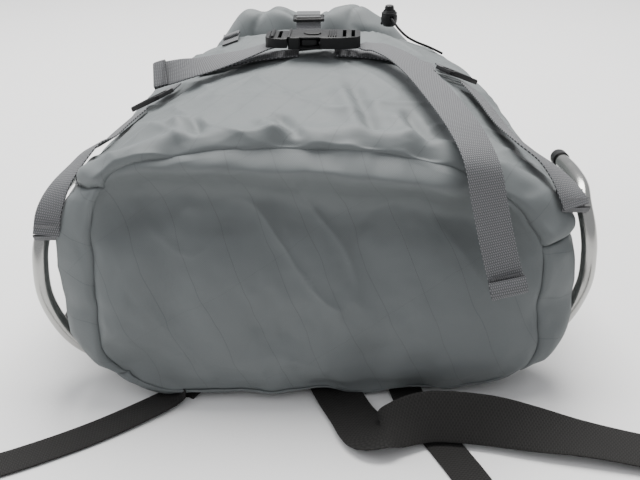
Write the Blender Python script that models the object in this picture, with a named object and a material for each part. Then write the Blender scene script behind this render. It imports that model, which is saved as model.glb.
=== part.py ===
"""A roll-top dry pack lying on its back, built as separate panels, straps, buckles and a hoop stay.

Metres. +X is the pack's right, +Y runs along the pack from its bottom end to its roll-top,
+Z is out of its front panel. The pack lies on its back pad at Z = 0. Every number below counts
Y from the seam of the bottom panel, and move_origin then puts Y = 0 at the back pad's middle.
"""

import math

import bmesh
import bpy
import numpy as np
from mathutils import Matrix, Vector

GAP = 0.0003
ORIGIN_Y = 0.195
FABRIC = 0.003
WEBBING = 0.0016
STRAP_WIDTH = 0.025
SIDE_STRAP_WIDTH = 0.020
HIP_WIDTH = 0.036

# Each station of the pack's body: distance along it, half width, crown height, underside height, and
# how square the outline's lower corners, upper left corner and upper right corner are.
STATIONS = (
    (0.000, 0.166, 0.187, 0.0052, 5.5, 3.00, 2.60),
    (0.008, 0.179, 0.190, 0.0056, 5.0, 3.00, 2.35),
    (0.024, 0.192, 0.194, 0.0115, 4.0, 3.00, 2.10),
    (0.031, 0.194, 0.195, 0.0205, 3.3, 2.85, 2.00),
    (0.055, 0.198, 0.197, 0.020, 3.0, 2.60, 1.95),
    (0.110, 0.196, 0.202, 0.020, 3.0, 2.15, 1.90),
    (0.180, 0.191, 0.206, 0.020, 3.0, 1.95, 1.95),
    (0.250, 0.185, 0.207, 0.021, 3.0, 1.95, 2.10),
    (0.310, 0.175, 0.205, 0.024, 3.0, 2.10, 2.30),
    (0.350, 0.163, 0.199, 0.028, 3.0, 2.35, 2.50),
    (0.380, 0.150, 0.190, 0.034, 3.0, 2.60, 2.70),
)
MOUTH_Y = STATIONS[-1][0]
# Where the seams between the panels lie on the outline, in degrees, at distances along the body.
SEAM_ALONG = (0.0, 0.068, 0.200, 0.380)
FRONT_LEFT_SEAM = (149.5, 158.0, 150.0, 141.0)
FRONT_RIGHT_SEAM = (10.0, 5.0, 20.0, 35.0)
BACK_SEAM = 42.0
LEAN = 0.22
LEAN_REACH = 0.20
BOTTOM_BULGE = 0.018

ROLL_CENTRE = (0.440, 0.170)
ROLL_RADII = (0.030, 0.042)
ROLL_HALF_LENGTH = 0.118
# How far each end of the roll hangs below its middle, and how late it bends down.
ROLL_DROP = {-1: (0.050, 5), 1: (0.043, 3)}
ROLL_HINGE = (0.0, MOUTH_Y + 0.0002, 0.022)

TUBE_RADIUS = 0.006
TUBE_ROUTE = {
    -1: (
        (0.2060, 0.1300, 0.1310), (0.2065, 0.1000, 0.1320), (0.2065, 0.0700, 0.1300),
        (0.2080, 0.0500, 0.1190),
        (0.2110, 0.0420, 0.1000), (0.2108, 0.0400, 0.0680), (0.1990, 0.0400, 0.0380),
        (0.1797, 0.0400, 0.0200),
        (0.1520, 0.0400, 0.0125), (0.1000, 0.0400, 0.0120),
    ),
    1: (
        (0.2040, 0.1300, 0.1400), (0.2045, 0.1000, 0.1420), (0.2030, 0.0700, 0.1420),
        (0.2010, 0.0520, 0.1350),
        (0.2040, 0.0430, 0.1180), (0.2060, 0.0400, 0.0980), (0.2050, 0.0400, 0.0720),
        (0.1935, 0.0400, 0.0440),
        (0.1730, 0.0400, 0.0210), (0.1520, 0.0400, 0.0130), (0.1000, 0.0400, 0.0120),
    ),
}
# Each side strap's last points, from the front panel's edge to the tube.
SIDE_STRAP_END = {
    -1: (
        (0.1725, 0.0880, 0.1725), (0.1800, 0.0720, 0.1670), (0.1905, 0.0520, 0.1560),
        (0.1980, 0.0390, 0.1400),
        (0.2005, 0.0325, 0.1240),
    ),
    1: (
        (0.1610, 0.0860, 0.1690), (0.1737, 0.0650, 0.1630), (0.1819, 0.0500, 0.1555),
        (0.1868, 0.0385, 0.1480),
        (0.1899, 0.0325, 0.1410),
    ),
}
SIDE_STRAP_ACROSS = ((0.78, 0.38, -0.50), (0.80, 0.42, -0.42), (0.88, 0.40, -0.2), (1, 0.20, 0),
                     (1, 0.05, 0))
# Each side strap leaves its ladder-lock at the first of these points, across and along the pack.
SIDE_STRAP_START = {
    "left": ((0.1485, 0.1610), (0.1590, 0.1350), (0.1660, 0.1110)),
    "right": ((0.1350, 0.2030), (0.1440, 0.1700), (0.1520, 0.1250)),
}
LADDER_LOCK_AT = {"left": (-0.1400, 0.1780, 0.1822), "right": (0.1270, 0.2200, 0.1892)}
LADDER_LOCK_TURN = {"left": (0, -27, -22), "right": (0, 24, 24)}
ANCHOR_FROM = {"left": ((-0.1338, 0.1945), (-0.1270, 0.2120)), "right": ((0.1215, 0.2375), (0.1185, 0.2455))}
CORD_RADIUS = 0.00125

FRONT_BUCKLE_AT = (-0.001, 0.2255, 0.2215)
BUCKLE_LENGTH = 0.084
BUCKLE_WIDTH = 0.034
BUCKLE_THICKNESS = 0.011
MOUTH_X = -0.022
SLOT = 0.0030
HIP_BUCKLE_SCALE = 1.3

GREY_FABRIC = ((0.185, 0.215, 0.225), 0.62, 0.0)
DARK_FABRIC = ((0.030, 0.031, 0.033), 0.75, 0.0)
GREY_WEBBING = ((0.150, 0.155, 0.165), 0.70, 0.0)
BLACK_WEBBING = ((0.018, 0.018, 0.019), 0.72, 0.0)
BLACK_PLASTIC = ((0.012, 0.012, 0.012), 0.38, 0.0)
ALUMINIUM = ((0.80, 0.80, 0.78), 0.16, 1.0)
STEEL = ((0.55, 0.55, 0.55), 0.30, 1.0)
FOAM = ((0.05, 0.05, 0.05), 0.90, 0.0)


def clear_scene():
    for obj in list(bpy.data.objects):
        bpy.data.objects.remove(obj, do_unlink=True)


def finish_of(name, finish):
    colour, roughness, metallic = finish
    material = bpy.data.materials.new(name + "_finish")
    material.use_nodes = True
    shader = material.node_tree.nodes["Principled BSDF"]
    shader.inputs["Base Color"].default_value = (*colour, 1.0)
    shader.inputs["Roughness"].default_value = roughness
    shader.inputs["Metallic"].default_value = metallic
    return material


def object_from(name, mesh, finish, origin=(0.0, 0.0, 0.0)):
    """A named object from a bmesh in world space, with its own origin at the point given."""
    bmesh.ops.recalc_face_normals(mesh, faces=mesh.faces)
    bmesh.ops.translate(mesh, verts=mesh.verts, vec=-Vector(origin))
    data = bpy.data.meshes.new(name)
    mesh.to_mesh(data)
    mesh.free()
    obj = bpy.data.objects.new(name, data)
    obj.location = origin
    obj.data.materials.append(finish_of(name, finish))
    bpy.context.scene.collection.objects.link(obj)
    return obj


def slab(name, outer, inner, finish, origin=(0.0, 0.0, 0.0)):
    """The closed solid between two point grids of the same size."""
    mesh = bmesh.new()
    top = [[mesh.verts.new(p) for p in row] for row in outer]
    low = [[mesh.verts.new(p) for p in row] for row in inner]
    rows, columns = len(top), len(top[0])
    for r in range(rows - 1):
        for c in range(columns - 1):
            for grid in (top, low):
                mesh.faces.new((grid[r][c], grid[r][c + 1], grid[r + 1][c + 1], grid[r + 1][c]))
        for c in (0, columns - 1):
            mesh.faces.new((top[r][c], top[r + 1][c], low[r + 1][c], low[r][c]))
    for r in (0, rows - 1):
        for c in range(columns - 1):
            mesh.faces.new((top[r][c], top[r][c + 1], low[r][c + 1], low[r][c]))
    return object_from(name, mesh, finish, origin)


def dish(name, outer, inner, finish, origin=(0.0, 0.0, 0.0)):
    """The closed solid between two sets of rings, each ending in one centre point."""
    mesh = bmesh.new()
    skins = []
    for rings in (outer, inner):
        loops = [[mesh.verts.new(p) for p in ring] for ring in rings[:-1]]
        count = len(loops[0])
        for a, b in zip(loops, loops[1:]):
            for i in range(count):
                j = (i + 1) % count
                mesh.faces.new((a[i], a[j], b[j], b[i]))
        centre = mesh.verts.new(rings[-1])
        for i in range(count):
            mesh.faces.new((loops[-1][i], loops[-1][(i + 1) % count], centre))
        skins.append(loops[0])
    rim, inner_rim = skins
    for i in range(len(rim)):
        j = (i + 1) % len(rim)
        mesh.faces.new((rim[i], rim[j], inner_rim[j], inner_rim[i]))
    return object_from(name, mesh, finish, origin)


def smooth_path(points, count):
    """Evenly numbered points on a smooth curve through rows of numbers."""
    rows = np.array(points, float)
    padded = np.vstack([2 * rows[0] - rows[1], rows, 2 * rows[-1] - rows[-2]])
    result = []
    for t in np.linspace(0, len(rows) - 1, count):
        i = min(int(t), len(rows) - 2)
        f = t - i
        a, b, c, d = padded[i : i + 4]
        result.append(
            0.5 * (2 * b + (c - a) * f + (2 * a - 5 * b + 4 * c - d) * f**2 + (3 * b - a - 3 * c + d) * f**3)
        )
    return np.array(result)


def ribbon(name, stations, width, finish, count=20, origin=(0.0, 0.0, 0.0), thickness=WEBBING):
    """Flat webbing. Each station is a centre point, the direction across it, and a width share if not 1."""
    rows = smooth_path(stations, count)
    centres, across = rows[:, :3], rows[:, 3:6]
    shares = rows[:, 6:] if rows.shape[1] > 6 else np.ones((count, 1))
    along = np.gradient(centres, axis=0)
    along /= np.linalg.norm(along, axis=1)[:, None]
    across = across - (across * along).sum(1)[:, None] * along
    across /= np.linalg.norm(across, axis=1)[:, None]
    out = np.cross(across, along) * thickness / 2
    side = across * width / 2 * shares
    top = [(c - s + n, c + s + n) for c, s, n in zip(centres, side, out)]
    low = [(c - s - n, c + s - n) for c, s, n in zip(centres, side, out)]
    return slab(name, top, low, finish, origin)


def bent_rod(name, points, radius, finish, sides=10, count=60):
    """A round rod along a smooth curve, as a POLY curve with filled caps."""
    data = bpy.data.curves.new(name, "CURVE")
    data.dimensions = "3D"
    data.bevel_depth = radius
    data.bevel_resolution = (sides - 4) // 2
    data.use_fill_caps = True
    route = smooth_path(points, count)
    spline = data.splines.new("POLY")
    spline.points.add(len(route) - 1)
    for point, place in zip(spline.points, route):
        point.co = (*place, 1.0)
    obj = bpy.data.objects.new(name, data)
    data.materials.append(finish_of(name, finish))
    bpy.context.scene.collection.objects.link(obj)
    return obj


def block(name, low, high, finish, bevel=0.0, origin=(0.0, 0.0, 0.0)):
    mesh = bmesh.new()
    bmesh.ops.create_cube(mesh, size=1.0)
    size = Vector(high) - Vector(low)
    centre = (Vector(high) + Vector(low)) / 2
    bmesh.ops.scale(mesh, vec=size, verts=mesh.verts)
    bmesh.ops.translate(mesh, vec=centre, verts=mesh.verts)
    obj = object_from(name, mesh, finish, origin)
    if bevel:
        modifier = obj.modifiers.new("rounded_edges", "BEVEL")
        modifier.width = bevel
        modifier.segments = 2
    return obj


def cylinder(name, base, radius, height, finish, sides=20, origin=(0.0, 0.0, 0.0)):
    mesh = bmesh.new()
    place = Matrix.Translation(Vector(base) + Vector((0, 0, height / 2)))
    bmesh.ops.create_cone(
        mesh, cap_ends=True, segments=sides, radius1=radius, radius2=radius, depth=height, matrix=place
    )
    return object_from(name, mesh, finish, origin)


def cut(obj, cutter):
    """Takes a hidden cutter out of an object."""
    modifier = obj.modifiers.new("cut_" + cutter.name, "BOOLEAN")
    modifier.operation = "DIFFERENCE"
    modifier.solver = "EXACT"
    modifier.object = cutter
    cutter.hide_render = True
    cutter.display_type = "WIRE"


def join(obj, other):
    """Joins a hidden helper to an object."""
    cut(obj, other)
    obj.modifiers[-1].operation = "UNION"


def put(objects, place, turn=(0.0, 0.0, 0.0), scale=1.0):
    """Parents a group of pieces to an empty, which places, turns and scales them together."""
    handle = bpy.data.objects.new(objects[0].name + "_place", None)
    handle.location = place
    handle.scale = (scale, scale, scale)
    handle.rotation_euler = [math.radians(angle) for angle in turn]
    bpy.context.scene.collection.objects.link(handle)
    for obj in objects:
        obj.parent = handle


# ---------------------------------------------------------------- the pack's body


def body_size(y):
    """Half width, crown and underside height, and the three squarenesses, at a distance along the body."""
    table = np.array(STATIONS)
    return [float(np.interp(y, table[:, 0], table[:, k])) for k in range(1, 7)]


def section(y, start, end, count, lift=0.0, trim=0.0):
    """Points evenly spaced along the body's girth, between two angles, moved out by lift."""
    half_width, crown, underside, lower, left, right = body_size(y)
    middle, half_height = (crown + underside) / 2, (crown - underside) / 2
    angles = np.linspace(start, end, 400)
    power = 2 / np.where(np.sin(angles) < 0, lower, np.where(np.cos(angles) < 0, left, right))
    x = half_width * np.sign(np.cos(angles)) * np.abs(np.cos(angles)) ** power
    z = middle + half_height * np.sign(np.sin(angles)) * np.abs(np.sin(angles)) ** power
    walk = np.concatenate([[0], np.cumsum(np.hypot(np.diff(x), np.diff(z)))])
    at = np.linspace(trim, walk[-1] - trim, count)
    x, z = np.interp(at, walk, x), np.interp(at, walk, z)
    steep = np.where(z < middle, lower, np.where(x < 0, left, right)) - 1
    out_x = np.sign(x) * np.abs(x / half_width) ** steep / half_width
    out_z = np.sign(z - middle) * np.abs((z - middle) / half_height) ** steep / half_height
    length = np.hypot(out_x, out_z)
    return list(zip(x + lift * out_x / length, z + lift * out_z / length))


def leaned(x, y, z):
    """The bottom end leans back, fading out along the body."""
    return (x, y + LEAN * (z - 0.02) * max(0.0, 1 - y / LEAN_REACH), z)


def front_height(x, y):
    """Height of the front panel's outer face above a point of the ground plan."""
    unleaned = y - LEAN * 0.17 * max(0.0, 1 - y / LEAN_REACH)
    half_width, crown, underside, _, left, right = body_size(unleaned)
    middle, half_height = (crown + underside) / 2, (crown - underside) / 2
    square = left if x < 0 else right
    return middle + half_height * (1 - abs(x / half_width) ** square) ** (1 / square)


def seam_angle(degrees, y):
    return math.radians(float(np.interp(y, SEAM_ALONG, degrees)))


def body_panel(name, starts, ends, columns):
    """One side of the body between two seams, each given by its angles on the outline."""
    grids = []
    for lift in (0.0, -FABRIC):
        grids.append([])
        for y, *_ in STATIONS:
            start, end = seam_angle(starts, y), seam_angle(ends, y)
            grids[-1].append([leaned(x, y, z) for x, z in section(y, start, end, columns, lift, GAP / 2)])
    return slab(name, *grids, GREY_FABRIC)


def end_dish(name, y, outward, bulge, finish, count=44, origin=(0.0, 0.0, 0.0), lean=True):
    """A domed panel that closes one end of the body."""
    outline = section(y, 0, 2 * math.pi, count + 1)[:-1]
    crown, underside = body_size(y)[1:3]
    middle = (crown + underside) / 2
    grids = []
    for depth in (GAP + FABRIC, GAP):
        rings = []
        for share in (1.0, 0.96, 0.86, 0.68, 0.42, 0.0):
            offset = outward * (depth + bulge * (1 - share**2))
            ring = [(x * share, y + offset, middle + (z - middle) * share) for x, z in outline]
            ring = [leaned(*p) for p in ring] if lean else ring
            rings.append(ring if share else ring[0])
        grids.append(rings)
    return dish(name, *grids, finish, origin)


def make_body():
    back_left = (180 + BACK_SEAM,) * len(SEAM_ALONG)
    back_right = (360 - BACK_SEAM,) * len(SEAM_ALONG)
    body_panel("front_panel", FRONT_RIGHT_SEAM, FRONT_LEFT_SEAM, 19)
    body_panel("left_side_panel", FRONT_LEFT_SEAM, back_left, 9)
    body_panel("back_panel", back_left, back_right, 13)
    body_panel("right_side_panel", (-BACK_SEAM,) * len(SEAM_ALONG), FRONT_RIGHT_SEAM, 9)
    end_dish("bottom_panel", 0.0, -1, BOTTOM_BULGE, GREY_FABRIC)


def make_back():
    block("back_foam_sheet", (-0.075, 0.075, 0.0264), (0.075, 0.245, 0.0324), FOAM)
    block("back_pad", (-0.040, 0.075, 0.0), (0.040, 0.315, 0.0194), DARK_FABRIC, 0.004)
    for side, name in ((-1, "left"), (1, "right")):
        path = [(0.030, 0.355), (0.074, 0.330), (0.088, 0.260), (0.094, 0.180), (0.090, 0.120),
                (0.087, 0.091)]
        rows = [(side * x, y, 0.0095, 1, 0, 0) for x, y in path]
        rows[0] = (side * 0.068, 0.358, 0.0095, 1, 0, 0)
        ribbon(f"shoulder_strap_{name}", rows, 0.054, DARK_FABRIC, 14, thickness=0.012)


# ---------------------------------------------------------------- the roll-top


def roll_drop(x):
    """How far the roll's axis hangs below its middle, at a distance across the pack."""
    drop, power = ROLL_DROP[-1 if x < 0 else 1]
    return drop * abs(x / ROLL_HALF_LENGTH) ** power


def make_roll_top():
    end_dish("roll_collar", MOUTH_Y, 1, 0.022, GREY_FABRIC, 36, ROLL_HINGE, lean=False)
    y, z = ROLL_CENTRE
    mesh = bmesh.new()
    stops = np.linspace(-ROLL_HALF_LENGTH, ROLL_HALF_LENGTH, 17)
    turns = np.linspace(0, 2 * math.pi, 20, endpoint=False)
    skins = []
    for radii in (ROLL_RADII, (0.003, 0.030)):
        skins.append([
            [
                mesh.verts.new((x, y + radii[0] * math.cos(a), z - roll_drop(x) + radii[1] * math.sin(a)))
                for a in turns
            ]
            for x in stops
        ])
    outer, inner = skins
    for a, b in [*zip(outer, outer[1:]), *zip(inner, inner[1:]), (outer[0], inner[0]),
(outer[-1], inner[-1])]:
        for i in range(len(turns)):
            j = (i + 1) % len(turns)
            mesh.faces.new((a[i], a[j], b[j], b[i]))
    object_from("roll_bundle", mesh, GREY_FABRIC, ROLL_HINGE)
    stops = np.linspace(-ROLL_HALF_LENGTH + 0.006, ROLL_HALF_LENGTH - 0.006, 17)
    edges = (-0.020, 0.020)
    faces = [[[(x, y + t, z - roll_drop(x) + h) for h in edges] for x in stops] for t in (0.0006, -0.0006)]
    slab("roll_stiffener", *faces, BLACK_PLASTIC, ROLL_HINGE)


def make_top_strap():
    over = [(0.4065, 0.146), (0.4068, 0.168), (0.4060, 0.190), (0.4020, 0.2075), (0.3890, 0.2125),
            (0.3690, 0.2120)]
    rows = [(-0.006, y, z, 1, 0, 0) for y, z in over]
    ribbon("top_strap", rows, STRAP_WIDTH, GREY_WEBBING, 22, ROLL_HINGE)
    frame = block("top_hook", (-0.021, 0.3490, 0.2105), (0.009, 0.3680, 0.2140), BLACK_PLASTIC, 0.0012,
                  (0, 0.3660, 0.2122))
    for low in (0.3520, 0.3600):
        cut(frame, block("hook_slot", (-0.0185, low, 0.2), (0.0065, low + 0.0036, 0.22), BLACK_PLASTIC))
    places = (0.243, 0.262, 0.285, 0.305, 0.325, 0.342)
    rows = [(-0.006, y, body_size(y)[1] + 0.0014, 1, 0, 0) for y in places]
    ribbon("hook_webbing", rows, STRAP_WIDTH, GREY_WEBBING, 8)
    block("webbing_tab_left", (-0.093, 0.316, 0.1990), (-0.075, 0.338, 0.2020), GREY_WEBBING)


# ---------------------------------------------------------------- buckles and straps


def buckle_female(name, place, turn, scale=1.0):
    half = BUCKLE_WIDTH / 2
    thick = BUCKLE_THICKNESS / 2
    body = block(name, (MOUTH_X, -half, -thick), (0.042, half, thick), BLACK_PLASTIC, 0.002)
    cavity = block(name + "_cavity", (MOUTH_X - 0.01, -0.0145, -0.0033),
(0.010, 0.0145, 0.0033), BLACK_PLASTIC)
    window = block(name + "_window", (-0.012, -0.03, -0.0040), (0.007, 0.03, 0.0040), BLACK_PLASTIC)
    pieces = [body, cavity, window]
    for i, low in enumerate((0.0255, 0.0345)):
        slot = block(f"{name}_slot_{i}", (low, -0.0135, -0.02), (low + SLOT, 0.0135, 0.02), BLACK_PLASTIC)
        pieces.append(slot)
    for cutter in pieces[1:]:
        cut(body, cutter)
    put(pieces, place, turn, scale)


def buckle_male(name, place, turn, scale=1.0):
    half = BUCKLE_WIDTH / 2
    base = block(name, (-0.042, -half, -0.0045), (MOUTH_X - 0.0005, half, 0.0045), BLACK_PLASTIC, 0.0018)
    bar = block(name + "_bar", (MOUTH_X - 0.004, -0.0022, -0.0022), (0.006, 0.0022, 0.0022), BLACK_PLASTIC)
    join(base, bar)
    pieces = [base, bar]
    for i, low in enumerate((-0.0390, -0.0310)):
        slot = block(f"{name}_slot_{i}", (low, -0.0135, -0.02), (low + SLOT, 0.0135, 0.02), BLACK_PLASTIC)
        cut(base, slot)
        pieces.append(slot)
    for side, word in ((-1, "near"), (1, "far")):
        arm = block(
            f"{name}_prong_{word}",
            (MOUTH_X - 0.0002, min(side * 0.0070, side * 0.0100), -0.0026),
            (0.0040, max(side * 0.0070, side * 0.0100), 0.0026),
            BLACK_PLASTIC,
        )
        head = block(
            f"{name}_head_{word}",
            (-0.0100, min(side * 0.0085, side * 0.0140), -0.0026),
            (0.0052, max(side * 0.0085, side * 0.0140), 0.0026),
            BLACK_PLASTIC,
        )
        join(arm, head)
        pieces += [arm, head]
    put(pieces, place, turn, scale)


def make_front_strap():
    buckle_male("front_buckle_male", FRONT_BUCKLE_AT, (0, 0, -3))
    buckle_female("front_buckle_female", FRONT_BUCKLE_AT, (0, 0, -3))
    y = FRONT_BUCKLE_AT[1]
    girth = section(y + 0.012, math.radians(56), math.radians(124), 41, 0.0022)
    right = [(x, y, z, 0, 1, 0) for x, z in girth[:18]]
    left = [(x, y, z, 0, 1, 0) for x, z in girth[::-1][:18]]
    ribbon("front_strap_right", right, STRAP_WIDTH, GREY_WEBBING, 18)
    ribbon("front_strap_left", left, STRAP_WIDTH, GREY_WEBBING, 18)
    left_tail = [
        (-0.0440, 0.2240, 0.2148, 0, 1, 0), (-0.0659, 0.2110, 0.2112, 0, 1, 0.1),
        (-0.0990, 0.1970, 0.2060, 0, 1, 0.4),
        (-0.1200, 0.1975, 0.2018, 0, 0.85, 0.65), (-0.1390, 0.1985, 0.1975, 0, 0.7, 0.7),
    ]
    ribbon("strap_tail_left", left_tail, STRAP_WIDTH, GREY_WEBBING, 16)
    right_tail = [
        (0.0445, 0.2215, 0.2148, 0, 1, 0), (0.0582, 0.2110, 0.2160, 0.45, 0.9, 0),
        (0.0733, 0.1880, 0.2138, 0.8, 0.6, 0),
        (0.0857, 0.1540, 0.2095, 1, 0.3, 0), (0.0976, 0.1035, 0.2030, 1, 0.15, 0),
        (0.1080, 0.0540, 0.1950, 1, 0.1, 0),
        (0.1150, 0.0200, 0.1800, 1, 0, -0.1), (0.1200, 0.0080, 0.1560, 1, 0, -0.1),
        (0.1260, -0.0020, 0.1280, 1, 0, -0.1), (0.1330, -0.0105, 0.1020, 1, 0, -0.1),
    ]
    ribbon("strap_tail_right", right_tail, STRAP_WIDTH, GREY_WEBBING, 34)


# ---------------------------------------------------------------- the hoop stay


def make_hoop():
    left = [(-x, y, z) for x, y, z in TUBE_ROUTE[-1]]
    route = left + [(0, 0.04, 0.012)] + list(TUBE_ROUTE[1][::-1])
    bent_rod("hoop_stay", route, TUBE_RADIUS, ALUMINIUM, 10, 88)
    for side, name in ((-1, "left"), (1, "right")):
        end, inner = [Vector((side * x, y, z)) for x, y, z in TUBE_ROUTE[side][:2]]
        way = (end - inner).normalized()
        end, tip = end + way * 2 * GAP, end + way * 0.013
        bent_rod(f"hoop_cap_{name}", [end, tip], 0.0068, BLACK_PLASTIC, 10, 2)
        start = SIDE_STRAP_START[name]
        rows = [(x, y, front_height(side * x, y) + 0.0042, 0.77, 0.36, -0.52) for x, y in start]
        rows += [(*place, *across) for place, across in zip(SIDE_STRAP_END[side], SIDE_STRAP_ACROSS)]
        rows = [(side * x, y, z, side * wx, wy, wz) for x, y, z, wx, wy, wz in rows]
        ribbon(f"side_strap_{name}", rows, SIDE_STRAP_WIDTH, GREY_WEBBING, 24)


def make_stay_keepers():
    for side, name in ((-1, "left"), (1, "right")):
        rows = []
        for step in range(13):
            angle = math.radians(-200 + 220 * step / 12)
            y, z = 0.040 + 0.0074 * math.cos(angle), 0.0112 + 0.0074 * math.sin(angle)
            rows.append((side * 0.135, y, z, 1, 0, 0))
        ribbon(f"stay_keeper_{name}", rows, 0.030, DARK_FABRIC, 20, thickness=0.0012)


# ---------------------------------------------------------------- side ladder-locks and the cord


def ladder_lock(name, place, turn, width=STRAP_WIDTH):
    """A flat three-bar adjuster: webbing passes over and under its bars."""
    half = width / 2 + 0.0035
    body = block(name, (-half, -0.015, -0.0018), (half, 0.015, 0.0018), BLACK_PLASTIC, 0.0008)
    pieces = [body]
    for i, low in enumerate((-0.0115, -0.0015, 0.0070)):
        slot = block(f"{name}_slot_{i}", (-width / 2 - 0.0005, low, -0.01),
(width / 2 + 0.0005, low + 0.0038, 0.01),
                     BLACK_PLASTIC)
        cut(body, slot)
        pieces.append(slot)
    put(pieces, place, turn)


def make_locks():
    for side, name in ((-1, "left"), (1, "right")):
        ladder_lock(f"ladder_lock_{name}", LADDER_LOCK_AT[name], LADDER_LOCK_TURN[name])
        (x, y), (end_x, end_y) = ANCHOR_FROM[name]
        middle_x, middle_y = (x + end_x) / 2, (y + end_y) / 2
        rows = [
            (px, py, front_height(px, py) + 0.0026, 0.86, side * 0.36, -side * 0.42)
            for px, py in ((x, y), (middle_x, middle_y), (end_x, end_y))
        ]
        ribbon(f"lock_anchor_{name}", rows, SIDE_STRAP_WIDTH, GREY_WEBBING, 4)
        ladder_lock(f"shoulder_lock_{name}", (side * 0.0860, 0.071, 0.0030), (0, 0, 0))


def make_cord():
    route = [
        (0.0700, 0.3700, 0.2030), (0.0715, 0.3660, 0.2080), (0.0735, 0.3605, 0.2125),
        (0.0760, 0.3500, 0.2145),
        (0.0790, 0.3380, 0.2130), (0.0840, 0.3290, 0.2070), (0.0920, 0.3240, 0.2000),
        (0.1020, 0.3230, 0.1945),
        (0.1120, 0.3240, 0.1903), (0.1210, 0.3260, 0.1858), (0.1290, 0.3290, 0.1812),
    ]
    bent_rod("elastic_cord", route, CORD_RADIUS, DARK_FABRIC, 8, 44)


def make_cord_lock():
    """A barrel and a sprung plunger, both with a slot that the cord runs through."""
    x, y, base = 0.0762, 0.3490, 0.2055
    barrel = cylinder("cord_lock_barrel", (x, y, base), 0.0075, 0.0160, BLACK_PLASTIC)
    cut(barrel, cylinder("barrel_bore", (x, y, base + 0.0016), 0.0052, 0.02, BLACK_PLASTIC))
    plunger = cylinder("cord_lock_plunger", (x, y, base + 0.0070), 0.0049, 0.0140, BLACK_PLASTIC,
                       origin=(x, y, base + 0.0140))
    for owner, name, top in ((barrel, "barrel_slot", 0.0110), (plunger, "plunger_slot", 0.0150)):
        slot = block(name, (-0.0021, -0.02, base + 0.0066), (0.0021, 0.02, base + top), BLACK_PLASTIC)
        slot.location = (x, y, 0)
        slot.rotation_euler = (0, 0, math.radians(14))
        cut(owner, slot)
    coil = []
    for step in range(31):
        angle = 2 * math.pi * step / 10
        height = base + 0.0022 + 0.0038 * step / 30
        coil.append((x + 0.0036 * math.cos(angle), y + 0.0036 * math.sin(angle), height))
    bent_rod("cord_lock_spring", coil, 0.0003, STEEL, 8, 31)


# ---------------------------------------------------------------- harness webbing on the ground


def make_harness_webbing():
    left = [
        (-0.0860, 0.0490, 0.0034, 1, 0.3, 0), (-0.0960, 0.0200, 0.0032, 1, 0.3, 0),
        (-0.1130, -0.0015, 0.0026, 0.7, 1, 0), (-0.1340, -0.0200, 0.0020, 0.5, 1, 0),
        (-0.1600, -0.0400, 0.0016, 0.4, 1, 0), (-0.1850, -0.0565, 0.0016, 0.3, 1, 0),
        (-0.2205, -0.0760, 0.0016, 0.3, 1, 0), (-0.2550, -0.0900, 0.0016, 0.3, 1, 0),
        (-0.2980, -0.1030, 0.0016, 0.2, 1, 0),
    ]
    ribbon("shoulder_webbing_left", left, STRAP_WIDTH, BLACK_WEBBING, 26)
    right = [
        (0.0820, 0.0490, 0.0030, 1, -0.2, 0), (0.0690, 0.0200, 0.0014, 1, -0.1, 0),
        (0.0660, 0.0050, 0.0012, 1, 0.1, 0),
        (0.0740, -0.0300, 0.0012, 1, 0.35, 0), (0.0880, -0.0650, 0.0012, 1, 0.4, 0),
        (0.1010, -0.0990, 0.0012, 1, 0.35, 0), (0.1100, -0.1300, 0.0012, 1, 0.3, 0),
    ]
    ribbon("shoulder_webbing_right", right, STRAP_WIDTH, BLACK_WEBBING, 24)
    hip_right = [
        (0.0000, 0.0560, 0.0032, 1, 0, 0, 1), (0.0060, 0.0250, 0.0032, 1, 0.1, 0, 1),
        (0.0150, -0.0050, 0.0032, 1, 0.2, 0, 1), (0.0240, -0.0290, 0.0034, 1, 0.2, 0, 1),
        (0.0330, -0.0480, 0.0048, 1, 0.8, 0, 1.15), (0.0400, -0.0560, 0.0080, 0.7, 1, 0.1, 1.15),
        (0.0520, -0.0545, 0.0130, 0.15, 1, 0.45, 1), (0.0780, -0.0500, 0.0172, 0, 0.8, 0.8, 1),
        (0.1150, -0.0540, 0.0168, 0, 0.8, 0.75, 1), (0.1500, -0.0600, 0.0130, 0, 0.9, 0.4, 1),
        (0.1850, -0.0670, 0.0090, 0, 1, 0.1, 1), (0.2250, -0.0780, 0.0060, 0.2, 1, 0, 1),
        (0.2600, -0.0900, 0.0060, 0.3, 1, 0, 1),
    ]
    ribbon("hip_webbing_right", hip_right, HIP_WIDTH, BLACK_WEBBING, 40)
    hip_left = [
        (-0.0430, 0.1200, 0.0012, 0, 1, 0), (-0.0700, 0.1195, 0.0012, 0, 1, 0),
        (-0.1000, 0.1185, 0.0012, 0, 1, 0),
        (-0.1180, 0.1180, 0.0015, 0, 1, 0), (-0.1270, 0.1178, 0.0045, 0, 1, 0),
        (-0.1328, 0.1178, 0.0076, 0, 1, 0),
    ]
    ribbon("hip_webbing_left", hip_left, HIP_WIDTH, BLACK_WEBBING, 26)
    buckle_female("hip_buckle_female", (-0.1900, 0.1180, 0.0080), (0, 0, 0), HIP_BUCKLE_SCALE)
    buckle_male("hip_buckle_male", (0.3145, -0.1075, 0.0075), (0, 0, -18), HIP_BUCKLE_SCALE)


def make_haul_loop():
    half = [(0.0310, 0.3480), (0.0325, 0.3700), (0.0310, 0.3900), (0.0220, 0.4060), (0.0080, 0.4130)]
    path = [(-x, y) for x, y in half] + [(x, y) for x, y in half[::-1]]
    ribbon("haul_loop", [(x, y, 0.0108, 0, 0, 1) for x, y in path], 0.018, BLACK_WEBBING, 26)


def move_origin():
    for obj in bpy.data.objects:
        if obj.parent is None:
            obj.location.y -= ORIGIN_Y


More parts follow.
